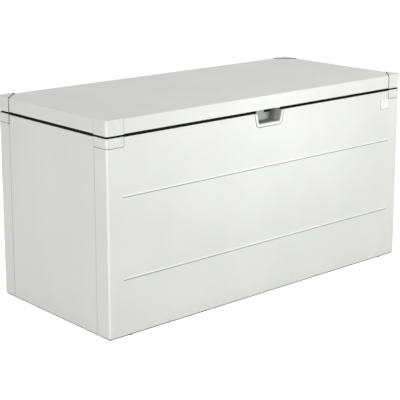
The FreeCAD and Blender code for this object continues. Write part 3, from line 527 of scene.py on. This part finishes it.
cap_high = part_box("lid_cap_front_left")[1]
lid_shadow_edge = sheet(
    "lid_cap_shadow_edge_front_left",
    (cap_high.x, sheet_low.y, sheet_low.z),
    (cap_high.x + SHADOW_EDGE_WIDE, sheet_low.y, sheet_high.z),
)
open_up(lid_shadow_edge)
pick("EDGE", lambda place, way: near(place.z, sheet_high.z))
pull((sheet_low.x - cap_high.x, cap_high.y - sheet_low.y, 0))
pick("VERT", lambda place, normal: near(place.x, sheet_low.x + SHADOW_EDGE_WIDE))
bpy.ops.transform.translate(value=(-SHADOW_EDGE_WIDE, SHADOW_EDGE_WIDE, 0))
pick("EDGE", lambda place, way: near(place.x, sheet_low.x))
pull((0, 0, sheet_low.z - sheet_high.z))
slant = cap_high.x + sheet_low.y + SHADOW_EDGE_WIDE / 2
pick("EDGE", lambda place, way: (
    abs(way.x) > PARTLY and abs(way.y) > PARTLY and place.x + place.y > slant
))
pull((SHADOW_EDGE_WIDER_ABOVE, SHADOW_EDGE_WIDER_ABOVE, 0))
close_up()

for shadow_edge, name, body in ((body_shadow_edge, "body_cap_shadow_edge", "body"), (lid_shadow_edge, "lid_cap_shadow_edge", "lid")):
    modify(shadow_edge, "SOLIDIFY", thickness=SHADOW_EDGE_PROUD, offset=1, use_even_offset=True)
    soften(shadow_edge, SHADOW_EDGE_ROUND)
    for piece in at_each_corner(shadow_edge, name):
        fit(piece, rubber_and_shadow, body)

# The dark lines: a thin grey strip along under each ridge of the front, in the angle between
# the ridge and the flat of the sheet, which is painted shadow, and a finer bead of grey sealant
# down each seam of the sides, between the side panel and the returns of the front and back panels.
RIDGE_HEIGHTS = {"lower": 0.222, "upper": 0.5315}
RIDGE_HALF = 0.004
RIDGE_END = 0.733
RIDGE_SHADOW_HIGH = 0.0024
RIDGE_SHADOW_PROUD = 0.0007
SEALANT_AND_SHADOW_GREY = (0.23, 0.235, 0.225)
SEALANT_AND_SHADOW_PALE = (0.29, 0.295, 0.285)
SEAM_FROM_MIDDLE = 0.275
SEAM_HALF = 0.0003
SEAM_SUNK = 0.0006
SEAM_PROUD = 0.0004
SEAM_ENDS = (0.0065, 0.7115)

# Grey sealant for the side seams; the same grey makes the strips and sheets that are painted shadow under
# the ridges, round the bezel and behind the plate.
sealant_and_shadow = Finish("ridge_sealant", roughness=0.6, specular=0.3)
sealant_and_shadow.mottle(sealant_and_shadow.noise(size=0.02), SEALANT_AND_SHADOW_GREY, SEALANT_AND_SHADOW_PALE)
sealant_and_shadow.relief(sealant_and_shadow.noise(size=0.002), height=0.00003)
for name, middle in RIDGE_HEIGHTS.items():
    line = block(
        f"ridge_sealant_{name}",
        (-RIDGE_END, FRONT_FACE - RIDGE_SHADOW_PROUD, middle - RIDGE_HALF - RIDGE_SHADOW_HIGH),
        (RIDGE_END, FRONT_FACE, middle - RIDGE_HALF),
    )
    soften(line, RIDGE_SHADOW_PROUD / 2, segments=3)
    fit(line, sealant_and_shadow, "body")

seam = block(
    "seam_sealant_front_left",
    (sheet_low.x - SEAM_PROUD, -SEAM_FROM_MIDDLE - SEAM_HALF, SEAM_ENDS[0]),
    (sheet_low.x + SEAM_SUNK, -SEAM_FROM_MIDDLE + SEAM_HALF, SEAM_ENDS[1]),
)
soften(seam, SEAM_HALF / 3)
for bead in at_each_corner(seam, "seam_sealant"):
    fit(bead, sealant_and_shadow, "body")

# The rim seal: black foam rubber, a flat foot clipped on the rim rails with a round bulb that
# the lid presses on. It steps inwards to pass behind the grip and before the hinges.
SEAL_WIDE = 0.012
SEAL_FOOT = 0.0045
BULB_INSET = 0.0022
BULB_ROUND = 0.0035
OUTER_TURN = 0.014
INNER_TURN = 0.004
# How far each step reaches to either side, and how far back it lies.
GRIP_PASS = (0.082, -0.272)
HINGE_PASS = (0.690, 0.316)


def slice_at(place, facing, **settings):
    """Cuts the whole open piece along the plane that lies at a place and faces one way."""
    bpy.ops.mesh.select_all(action="SELECT")
    bpy.ops.mesh.bisect(plane_co=place, plane_no=facing, **settings)


seal_low, seal_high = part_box("rim_seal")
seal = sheet("rim_bulb_seal", (seal_low.x, seal_low.y, seal_low.z), (seal_high.x, seal_high.y, seal_low.z))
open_up(seal)
for sign in (-1, 1):
    for across in (GRIP_PASS[0], HINGE_PASS[0]):
        slice_at((sign * across, 0, seal_low.z), (1, 0, 0))
for back in (GRIP_PASS[1], HINGE_PASS[1]):
    slice_at((0, back, seal_low.z), (0, 1, 0))
cut_away(lambda place, normal: (
    (abs(place.x) < GRIP_PASS[0] and place.y < GRIP_PASS[1])
    or (abs(place.x) < HINGE_PASS[0] and place.y > HINGE_PASS[1])
))
bpy.ops.mesh.select_all(action="SELECT")
bpy.ops.mesh.dissolve_limited(angle_limit=math.radians(1))
pick("VERT", lambda place, normal: (
    (near(abs(place.x), GRIP_PASS[0]) and near(place.y, GRIP_PASS[1]))
    or (near(abs(place.x), HINGE_PASS[0]) and near(place.y, HINGE_PASS[1]))
))
bpy.ops.mesh.bevel(offset=INNER_TURN, segments=3, affect="VERTICES")
pick("VERT", lambda place, normal: (
    near(abs(place.y), seal_high.y)
    and any(near(abs(place.x), x) for x in (GRIP_PASS[0], HINGE_PASS[0], seal_high.x))
))
bpy.ops.mesh.bevel(offset=OUTER_TURN, segments=5, affect="VERTICES")
bpy.ops.mesh.select_mode(type="FACE")
bpy.ops.mesh.select_all(action="SELECT")
bpy.ops.mesh.inset(thickness=SEAL_WIDE, depth=0)
bpy.ops.mesh.delete(type="FACE")
close_up()
modify(seal, "SOLIDIFY", thickness=SEAL_FOOT, offset=1)
open_up(seal)
pick("FACE", lambda place, normal: normal.z > MAINLY)
bpy.ops.mesh.inset(thickness=BULB_INSET, depth=0)
pull((0, 0, seal_high.z - seal_low.z - SEAL_FOOT))
pick("EDGE", lambda place, way: near(place.z, seal_high.z))
# Only the two rims of the bulb are rounded, not the edges that cross its flat top.
mesh = bmesh.from_edit_mesh(seal.data)
for edge in mesh.edges:
    if edge.select and all(face.normal.z > MAINLY for face in edge.link_faces):
        edge.select_set(False)
bmesh.update_edit_mesh(seal.data)
bpy.ops.mesh.bevel(offset=BULB_ROUND, segments=4, affect="EDGES", clamp_overlap=True)
close_up()
fit(seal, rubber_and_shadow, "body")
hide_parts("rim_seal")

# The grip: a white bezel clipped round the cut in the front sheet, with a grey ring under it
# that shows round its edge as a painted shadow, and behind it a grey moulded tray for the fingers,
# with painted shade in its back corners, and a ribbed soft mat on the tray's floor.
BEZEL_HALF_TOP = 0.079
BEZEL_HALF_LOW = 0.066
BEZEL_WIDE = 0.010
BEZEL_ROUND = 0.0122
BEZEL_BACK = -0.350
BEZEL_BASE = 0.0006
BEZEL_WHITE = (0.86, 0.87, 0.84)
BEZEL_SHADE = (0.83, 0.84, 0.81)
OVERREACH = 0.020
BEZEL_SHADOW_SHOWS = 0.0032
BEZEL_SHADOW_THICK = 0.0003
TRAY_HALF_TOP = 0.069
TRAY_HALF_LOW = 0.0595
TRAY_FLOOR = 0.703
TRAY_BACK = -0.290
TRAY_ROUND = 0.006
TRAY_WALL = 0.002
TRAY_EDGE = 0.0006
TRAY_GREY = (0.48, 0.485, 0.47)
TRAY_DARK = (0.43, 0.435, 0.42)
TRAY_PAINTED_SHADE = (0.16, 0.16, 0.155)
TRAY_SHADE_FULL = 0.006
TRAY_SHADE_REACH = 0.034
MAT_HALF = 0.053
MAT_FRONT = -0.345
MAT_BACK = -0.298
MAT_THICK = 0.0012
MAT_EDGE = 0.0003
MAT_RIBS = 8
MAT_COLOUR = (0.085, 0.098, 0.092)
MAT_WORN = (0.19, 0.205, 0.195)
# The bezel's face rises to a rounded crown: how far in each step goes, and how far out.
CROWN = ((0.0012, 0.0007), (0.0018, 0.0005), (0.0035, 0.0001), (0.0018, -0.0004), (0.0012, -0.0006))

cup_low, cup_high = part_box("grip_cup")
slope = (BEZEL_HALF_TOP - BEZEL_HALF_LOW) / (cup_high.z - cup_low.z)
blank_half = BEZEL_HALF_TOP + OVERREACH * slope


def bridge_gap():
    """Closes the gap between the two open rims of the open piece with faces."""
    bpy.ops.mesh.select_mode(type="EDGE")
    bpy.ops.mesh.select_all(action="DESELECT")
    bpy.ops.mesh.select_non_manifold()
    bpy.ops.mesh.bridge_edge_loops()


def grip_ring(name, grow, thick, crown):
    """A ring of the grip's outline, grown all round, that lies on the front and is open above."""
    half = blank_half + grow
    low = cup_low.z - grow
    ring = block(name, (-half, BEZEL_BACK - thick, low), (half, BEZEL_BACK, cup_high.z + OVERREACH))
    open_up(ring)
    pick("VERT", lambda place, normal: near(place.z, low))
    narrow = (BEZEL_HALF_LOW + grow) / half
    bpy.ops.transform.resize(value=(narrow, 1, 1), center_override=(0, BEZEL_BACK, low))
    pick("EDGE", lambda place, way: near(place.z, low) and abs(way.y) > MAINLY)
    bpy.ops.mesh.bevel(offset=BEZEL_ROUND + grow, segments=8, affect="EDGES")
    pick("FACE", lambda place, normal: normal.y > MAINLY)
    bpy.ops.mesh.inset(thickness=BEZEL_WIDE + grow, depth=0)
    bpy.ops.mesh.delete(type="FACE")
    pick("FACE", lambda place, normal: normal.y < -MAINLY)
    for inwards, outwards in crown:
        bpy.ops.mesh.inset(thickness=inwards, depth=outwards)
    bpy.ops.mesh.inset(thickness=BEZEL_WIDE + grow - sum(step[0] for step in crown), depth=0)
    bpy.ops.mesh.delete(type="FACE")
    bridge_gap()
    slice_at((0, 0, cup_high.z), (0, 0, 1), use_fill=True, clear_outer=True)
    face_outwards()
    close_up()
    return ring


# The grey ring under the bezel is painted shadow round its edge.
bezel_shadow = grip_ring("grip_bezel_shadow", BEZEL_SHADOW_SHOWS, BEZEL_SHADOW_THICK, ())
fit(bezel_shadow, sealant_and_shadow, "body")
bezel = grip_ring("grip_bezel", 0, BEZEL_BASE, CROWN)
bezel_white = Finish("grip_bezel", roughness=0.3)
bezel_white.mottle(bezel_white.noise(size=0.02), BEZEL_WHITE, BEZEL_SHADE)
bezel_white.gloss(bezel_white.noise(size=0.01, detail=3.0), smooth=0.26, rough=0.34)
bezel_white.relief(bezel_white.noise(GRAIN_SIZE), height=0.00001)
fit(bezel, bezel_white, "body", angle=60)
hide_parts("grip_cup")

tray = block(
    "grip_tray",
    (-TRAY_HALF_TOP, BEZEL_BACK, TRAY_FLOOR),
    (TRAY_HALF_TOP, TRAY_BACK, cup_high.z),
)
open_up(tray)
pick("VERT", lambda place, normal: near(place.z, TRAY_FLOOR))
bpy.ops.transform.resize(
    value=(TRAY_HALF_LOW / TRAY_HALF_TOP, 1, 1),
    center_override=(0, BEZEL_BACK, TRAY_FLOOR),
)
cut_away(lambda place, normal: normal.z > MAINLY or normal.y < -MAINLY)
pick("EDGE", lambda place, way: (
    (abs(way.z) > PARTLY and near(place.y, TRAY_BACK))
    or (abs(way.y) > MAINLY and near(place.z, TRAY_FLOOR))
    or (abs(way.x) > MAINLY and near(place.z, TRAY_FLOOR) and near(place.y, TRAY_BACK))
))
bpy.ops.mesh.bevel(offset=TRAY_ROUND, segments=4, affect="EDGES")
pick("EDGE", lambda place, way: near(place.z, cup_high.z))
pull((0, 0, 0))
bpy.ops.transform.resize(
    value=(
        cup_high.x / TRAY_HALF_TOP,
        (cup_high.y - BEZEL_BACK) / (TRAY_BACK - BEZEL_BACK),
        1,
    ),
    center_override=(0, BEZEL_BACK, cup_high.z),
)
bpy.ops.mesh.select_all(action="SELECT")
bpy.ops.mesh.flip_normals()
close_up()
modify(tray, "SOLIDIFY", thickness=TRAY_WALL, offset=-1, use_even_offset=True)
soften(tray, TRAY_EDGE)

tray_grey = Finish("grip_plastic", roughness=0.45)
tray_tone = tray_grey.blend(
    tray_grey.spread(tray_grey.noise(size=0.03), *MIDDLE), TRAY_GREY, TRAY_DARK,
)
# Painted shade: the tray darkens towards its two back corners.
tray_corner_shade = tray_grey.spread(
    tray_grey.from_line(TRAY_HALF_TOP, TRAY_BACK), TRAY_SHADE_FULL, TRAY_SHADE_REACH, 1.0, 0.0,
)
tray_grey.colour(tray_grey.blend(tray_corner_shade, tray_tone, TRAY_PAINTED_SHADE))
tray_grey.gloss(tray_grey.noise(size=0.015, detail=3.0), smooth=0.4, rough=0.5)
tray_grey.relief(tray_grey.noise(GRAIN_SIZE), height=0.00002)
fit(tray, tray_grey, "body")
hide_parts("grip_cup")

# Black foam fills the deck beside the tray, and a black strip on the tray's back, just under
# the lid's edge, is a painted shadow of the lid.
DECK_FOAM_FROM = 0.0695
DECK_FOAM_TO = 0.081
DECK_FOAM_FRONT = -0.3475
DECK_FOAM_BACK = -0.291
DECK_FOAM_TOP = 0.7572
DECK_FOAM_ROUND = 0.002
LID_SHADOW_FROM = 0.028
LID_SHADOW_TO = 0.064
LID_SHADOW_LOW = 0.7315
LID_SHADOW_HIGH = 0.0125
LID_SHADOW_THICK = 0.0015
LID_SHADOW_ROUND = 0.0006
SIGNS = {"left": -1, "right": 1}
for side, sign in SIGNS.items():
    foam = block(
        f"grip_deck_foam_{side}",
        (min(sign * DECK_FOAM_FROM, sign * DECK_FOAM_TO), DECK_FOAM_FRONT, cup_high.z),
        (max(sign * DECK_FOAM_FROM, sign * DECK_FOAM_TO), DECK_FOAM_BACK, DECK_FOAM_TOP),
    )
    soften(foam, DECK_FOAM_ROUND, segments=3)
    fit(foam, rubber_and_shadow, "body")

lid_shadow_band = block(
    "grip_back_lid_shadow_band",
    (LID_SHADOW_FROM, TRAY_BACK - LID_SHADOW_THICK, LID_SHADOW_LOW),
    (LID_SHADOW_TO, TRAY_BACK, LID_SHADOW_LOW + LID_SHADOW_HIGH),
)
soften(lid_shadow_band, LID_SHADOW_ROUND, segments=3)
fit(lid_shadow_band, rubber_and_shadow, "body")

mat = block("grip_mat", (-MAT_HALF, MAT_FRONT, TRAY_FLOOR), (MAT_HALF, MAT_BACK, TRAY_FLOOR + MAT_THICK))
open_up(mat)
mat_pitch = (MAT_BACK - MAT_FRONT) / (2 * MAT_RIBS + 1)
for rib in range(1, 2 * MAT_RIBS + 1):
    slice_at((0, MAT_FRONT + rib * mat_pitch, 0), (0, 1, 0))
pick("FACE", lambda place, normal: (
    normal.z > MAINLY and round((place.y - MAT_FRONT) / mat_pitch - 0.5) % 2 == 1
))
bpy.ops.mesh.inset(thickness=mat_pitch / 5, depth=MAT_THICK, use_individual=True)
close_up()
soften(mat, MAT_EDGE)

mat_rubber = Finish("grip_mat", roughness=0.5)
mat_rubber.mottle(
    mat_rubber.noise(size=0.02, stretch=(0.4, 1, 1)), MAT_COLOUR, MAT_WORN, levels=(0.4, 0.65),
)
mat_rubber.gloss(mat_rubber.noise(size=0.01), smooth=0.4, rough=0.6)
mat_rubber.relief(mat_rubber.noise(size=0.0006), height=0.00003)
fit(mat, mat_rubber, "body")

# The blank plate: a small thin plate of white painted metal, left bare, on the front sheet
# under the right corner cap, with a grey sheet behind it that shows at its left and lower edges
# as a painted shadow. Its edges are rolled and its face is dished.
PLATE_CORNER = 0.003
PLATE_BORDER = 0.0022
PLATE_DISH = -0.0002
PLATE_EDGE = 0.00035
PLATE_WHITE = (0.89, 0.895, 0.875)
PLATE_SHADE = (0.85, 0.855, 0.835)
SHADOW_SHEET_SHOWS = 0.0012
SHADOW_SHEET_THICK = 0.0005

plate_low, plate_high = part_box("bare_plate")
shadow_sheet = block(
    "plate_shadow_sheet",
    (plate_low.x - SHADOW_SHEET_SHOWS, plate_high.y - SHADOW_SHEET_THICK, plate_low.z - SHADOW_SHEET_SHOWS),
    (plate_high.x, plate_high.y, plate_high.z),
)
soften(shadow_sheet, SHADOW_SHEET_THICK / 2)
fit(shadow_sheet, sealant_and_shadow, "body")
plate = block("blank_plate", plate_low, plate_high)
open_up(plate)
pick("EDGE", lambda place, way: abs(way.y) > MAINLY)
bpy.ops.mesh.bevel(offset=PLATE_CORNER, segments=5, affect="EDGES")
pick("FACE", lambda place, normal: normal.y < -MAINLY)
bpy.ops.mesh.inset(thickness=PLATE_BORDER, depth=0)
bpy.ops.mesh.inset(thickness=PLATE_BORDER / 2, depth=PLATE_DISH)
close_up()
soften(plate, PLATE_EDGE, segments=3, angle=50)

plate_white = Finish("plate_white", roughness=0.28)
plate_white.mottle(plate_white.noise(size=0.01), PLATE_WHITE, PLATE_SHADE)
plate_white.gloss(plate_white.noise(size=0.004, stretch=(0.1, 1, 1)), smooth=0.24, rough=0.34)
plate_white.relief(plate_white.noise(size=0.0008, stretch=(0.05, 1, 1)), height=0.000008)
fit(plate, plate_white, "body")
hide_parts("bare_plate")

# The inner frame: corner posts, rim rails and base rails roll formed from galvanised strip,
# and the pressed stiffeners, brackets and lock plate of the same steel.
ZINC_LIGHT = (0.62, 0.63, 0.64)
ZINC_DARK = (0.54, 0.55, 0.565)
SPANGLE_SIZE = 0.012

zinc = Finish("galvanised_steel", roughness=0.4, metallic=0.85)
zinc.colour(zinc.blend(zinc.cells(SPANGLE_SIZE), ZINC_LIGHT, ZINC_DARK))
zinc.gloss(zinc.cells(SPANGLE_SIZE), smooth=0.36, rough=0.46, levels=(0.0, 1.0))
zinc.relief(zinc.noise(size=0.003), height=0.00002)
for end in ENDS:
    for side in SIDES:
        paint(zinc, f"corner_post_{end}_{side}")
for side in SIDES:
    paint(
        zinc, f"front_rim_rail_{side}", f"side_rim_rail_{side}", f"base_rail_{side}",
        f"lid_strut_bracket_{side}", f"strut_anchor_{side}",
    )
paint(zinc, "rear_rim_rail", "base_rail_front", "base_rail_back", "lock_plate")
paint(zinc, "lid_stiffener_1", "lid_stiffener_2", "lid_stiffener_3")

# The floor: three planks folded from aluminium sheet and laid on the base rails, with flutes
# pressed in from front to back that stiffen them and keep things off the wet.
FLUTES = 9
FLUTE_WIDE = 0.010
FLUTE_DEEP = 0.0025
FLUTE_END = 0.018
PLANK_ROUND = 0.0012
ALUMINIUM_LIGHT = (0.72, 0.73, 0.73)
ALUMINIUM_DARK = (0.62, 0.63, 0.64)

plank_low, plank_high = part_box("floor_plank_1")
flute_pitch = (plank_high.x - plank_low.x) / (FLUTES + 1)
plank = block("fluted_plank_1", plank_low, plank_high)
open_up(plank)
for flute in range(1, FLUTES + 1):
    for sign in (-1, 1):
        slice_at((plank_low.x + flute * flute_pitch + sign * FLUTE_WIDE / 2, 0, 0), (1, 0, 0))
for sign in (-1, 1):
    slice_at((0, sign * (plank_high.y - FLUTE_END), 0), (0, 1, 0))


def in_a_flute(place, normal):
    """True for the top faces of the plank that are pressed down."""
    turn = (place.x - plank_low.x) / flute_pitch
    aside = abs(turn - round(turn)) * flute_pitch
    on_line = 0 < round(turn) <= FLUTES and aside < FLUTE_WIDE / 4
    return on_line and near(place.y, 0) and normal.z > MAINLY


pick("FACE", in_a_flute)
bpy.ops.mesh.inset(thickness=FLUTE_WIDE / 4, depth=-FLUTE_DEEP, use_individual=True)
close_up()
soften(plank, PLANK_ROUND, segments=3, angle=30)

aluminium = Finish("floor_aluminium", roughness=0.4, metallic=0.9)
rolled = aluminium.noise(size=0.006, stretch=(1, 0.03, 1), detail=4.0)
aluminium.mottle(rolled, ALUMINIUM_LIGHT, ALUMINIUM_DARK, levels=MOST)
aluminium.gloss(rolled, smooth=0.34, rough=0.46)
aluminium.relief(rolled, height=0.00002)
planks = [plank]
for number in (2, 3):
    other = twin_of(plank, f"fluted_plank_{number}")
    other.location.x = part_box(f"floor_plank_{number}")[0].x - plank_low.x
    bpy.ops.object.transform_apply(location=True, rotation=False, scale=False)
    planks.append(other)
for number, plank in enumerate(planks, 1):
    fit(plank, aluminium, "body")
    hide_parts(f"floor_plank_{number}")

# The feet: round pads of dark grey moulded nylon, riveted up through the base rails.
FOOT_GREY = (0.05, 0.05, 0.055)
FOOT_SCUFFED = (0.085, 0.085, 0.09)

nylon = Finish("foot_plastic", roughness=0.55)
nylon.mottle(nylon.noise(size=0.005, detail=4.0), FOOT_GREY, FOOT_SCUFFED, levels=(0.45, 0.7))
nylon.gloss(nylon.noise(size=0.003), smooth=0.48, rough=0.64)
nylon.relief(nylon.noise(GRAIN_SIZE), height=0.00003)
for end in ENDS:
    for side in SIDES:
        paint(nylon, f"foot_{end}_{side}")

# The hinges: two pairs of rolled stainless leaves, each on a bright pin, riveted down to the
# rear rim rail and up to the lid's flange.
STAINLESS_LIGHT = (0.60, 0.59, 0.57)
STAINLESS_DARK = (0.48, 0.47, 0.46)

stainless = Finish("hinge_steel", roughness=0.32, metallic=1.0)
brushed = stainless.noise(size=0.004, stretch=(0.04, 1, 1), detail=4.0)
stainless.mottle(brushed, STAINLESS_LIGHT, STAINLESS_DARK, levels=MOST)
stainless.gloss(brushed, smooth=0.26, rough=0.4)
stainless.relief(brushed, height=0.00001)
paint(stainless, "hinge_pins", "body_hinge_rivets", "lid_hinge_rivets")
for side in SIDES:
    paint(stainless, f"hinge_body_leaf_{side}", f"hinge_lid_leaf_{side}")

# The gas struts: a satin black tube with a bright hard chromed rod, hung between the pins of
# the anchor on the side rail and the bracket under the lid. A guide ring ends the tube.
STRUT_BLACK = (0.014, 0.014, 0.015)
STRUT_WORN = (0.035, 0.035, 0.036)
CHROME = (0.72, 0.73, 0.75)
CHROME_OILED = (0.60, 0.60, 0.60)
STRUT_FOOT = (0.745, 0.283, 0.672)
STRUT_HEAD = (0.745, 0.067, 0.772)
GUIDE_FROM = 0.203
GUIDE_LONG = 0.0075
GUIDE_RADIUS = 0.0098
GUIDE_BORE = 0.0045
GUIDE_ROUND = 0.0008

enamel = Finish("strut_black", roughness=0.38)
enamel.mottle(enamel.noise(size=0.006, detail=5.0), STRUT_BLACK, STRUT_WORN, levels=(0.55, 0.75))
enamel.gloss(enamel.noise(size=0.02), smooth=0.32, rough=0.44)
enamel.relief(enamel.noise(size=0.001), height=0.00001)
chrome = Finish("strut_rod_chrome", roughness=0.1, metallic=1.0)
chrome.mottle(chrome.noise(size=0.02), CHROME, CHROME_OILED, levels=(0.4, 0.7))
chrome.gloss(chrome.noise(size=0.008), smooth=0.07, rough=0.15)
for side in SIDES:
    paint(enamel, f"strut_tube_{side}")
    paint(chrome, f"strut_rod_{side}")


def turned(name, foot, radius, long, steps=32):
    """A round bar that stands on a point."""
    bpy.ops.object.select_all(action="DESELECT")
    bpy.ops.mesh.primitive_cylinder_add(
        vertices=steps, radius=radius, depth=long, location=(foot[0], foot[1], foot[2] + long / 2),
    )
    piece = bpy.context.object
    piece.name = piece.data.name = name
    bpy.ops.object.transform_apply(location=True, rotation=True, scale=True)
    return piece


def bore(wall):
    """Bores the open turned piece from end to end, and leaves a ring of this wall."""
    for sign in (-1, 1):
        pick("FACE", lambda place, normal: normal.z * sign > MAINLY)
        bpy.ops.mesh.inset(thickness=wall, depth=0)
        bpy.ops.mesh.delete(type="FACE")
    bridge_gap()
    face_outwards()


strut_rise = STRUT_HEAD[2] - STRUT_FOOT[2]
strut_run = STRUT_FOOT[1] - STRUT_HEAD[1]
strut_lean = math.atan2(strut_run, strut_rise)
for side, sign in SIGNS.items():
    guide = turned(f"strut_guide_ring_{side}", (0, 0, GUIDE_FROM), GUIDE_RADIUS, GUIDE_LONG)
    open_up(guide)
    bore(GUIDE_RADIUS - GUIDE_BORE)
    close_up()
    soften(guide, GUIDE_ROUND, segments=3)
    guide.rotation_euler = (strut_lean, 0, 0)
    guide.location = (sign * STRUT_FOOT[0], STRUT_FOOT[1], STRUT_FOOT[2])
    bpy.ops.object.transform_apply(location=True, rotation=True, scale=True)
    fit(guide, enamel, f"strut_tube_{side}")

# The small fasteners: pan head screws in the strut anchors, the lid brackets and the keeper.
# Each head is domed, with a round socket for the driver.
ANCHOR_SCREW = (0.0048, 0.0024)
ANCHOR_FACE = 0.757
ANCHOR_SCREW_Y = 0.283
ANCHOR_SCREW_Z = (0.700, 0.728)
BRACKET_SCREW = (0.0038, 0.0018)
BRACKET_FOOT = 0.808
BRACKET_SCREW_X = 0.769
BRACKET_SCREW_Y = (0.058, 0.076)
KEEPER_SCREW = (0.0032, 0.0016)
KEEPER_FOOT = 0.749
KEEPER_SCREW_X = (0.049, 0.071)
KEEPER_SCREW_Y = -0.2795
# As shares of a head's radius: its socket, and where its rim begins. As shares of its height:
# how deep the socket goes, and how far down the dome reaches.
SCREW_SOCKET = 0.42
SCREW_RIM = 0.9
SCREW_SOCKET_DEEP = 0.55
SCREW_DOME = 0.6


def pan_head(name, radius, high):
    """A screw head that stands on the origin and points up."""
    head = turned(name, (0, 0, 0), radius, high, steps=24)
    open_up(head)
    pick("FACE", lambda place, normal: normal.z > MAINLY)
    bpy.ops.mesh.inset(thickness=radius * (1 - SCREW_SOCKET), depth=0)
    pull((0, 0, -high * SCREW_SOCKET_DEEP))
    pick("EDGE", lambda place, way: near(place.z, high) and place.xy.length > radius * SCREW_RIM)
    bpy.ops.mesh.bevel(offset=high * SCREW_DOME, segments=4, affect="EDGES")
    close_up()
    return head


def set_screws(name, body, size, places, turn=(0, 0, 0)):
    """One screw head, its size a radius and a height, copied to each place and turned from up."""
    head = pan_head(name, *size)
    copies = []
    for place in places:
        twin = twin_of(head, name)
        twin.rotation_euler = turn
        twin.location = place
        bpy.ops.object.transform_apply(location=True, rotation=True, scale=True)
        copies.append(twin)
    bpy.data.objects.remove(head)
    bpy.ops.object.select_all(action="DESELECT")
    for twin in copies:
        twin.select_set(True)
    bpy.context.view_layer.objects.active = copies[0]
    bpy.ops.object.join()
    screws = bpy.context.object
    screws.name = screws.data.name = name
    fit(screws, stainless, body)


for side, sign in SIGNS.items():
    set_screws(
        f"anchor_screws_{side}", "body", ANCHOR_SCREW,
        [(sign * ANCHOR_FACE, ANCHOR_SCREW_Y, z) for z in ANCHOR_SCREW_Z],
        turn=(0, -sign * math.pi / 2, 0),
    )
set_screws(
    "bracket_screws", "lid", BRACKET_SCREW,
    [(sign * BRACKET_SCREW_X, y, BRACKET_FOOT) for sign in (-1, 1) for y in BRACKET_SCREW_Y],
    turn=(math.pi, 0, 0),
)
set_screws(
    "keeper_screws", "body", KEEPER_SCREW,
    [(x, KEEPER_SCREW_Y, KEEPER_FOOT) for x in KEEPER_SCREW_X],
)

# The lock: a nickel plated cam lock, its barrel held in the lid's lock plate by a thin hex
# nut, with the cam screwed on its end and a keeper on the grip's deck for the cam.
NICKEL_LIGHT = (0.66, 0.63, 0.58)
NICKEL_DARK = (0.54, 0.52, 0.48)
NUT_FOOT = (0.060, -0.334, 0.761)
NUT_RADIUS = 0.0138
NUT_WALL = 0.0045
NUT_HIGH = 0.0042
NUT_EDGE = 0.0006
CAM_SCREW = (0.0042, 0.0024)
CAM_SCREW_FOOT = (0.060, -0.334, 0.7823)

nickel = Finish("lock_nickel", roughness=0.25, metallic=1.0)
nickel.mottle(nickel.noise(size=0.004, detail=4.0), NICKEL_LIGHT, NICKEL_DARK, levels=(0.4, 0.7))
nickel.gloss(nickel.noise(size=0.003), smooth=0.2, rough=0.34)
nickel.relief(nickel.noise(size=0.001), height=0.000008)
paint(nickel, "lock_barrel", "lock_plug", "lock_cam", "lock_keeper")

nut = turned("lock_nut", NUT_FOOT, NUT_RADIUS, NUT_HIGH, steps=6)
open_up(nut)
bore(NUT_WALL)
close_up()
soften(nut, NUT_EDGE)
fit(nut, nickel, "lid")

set_screws("cam_screw", "lock", CAM_SCREW, [CAM_SCREW_FOOT])
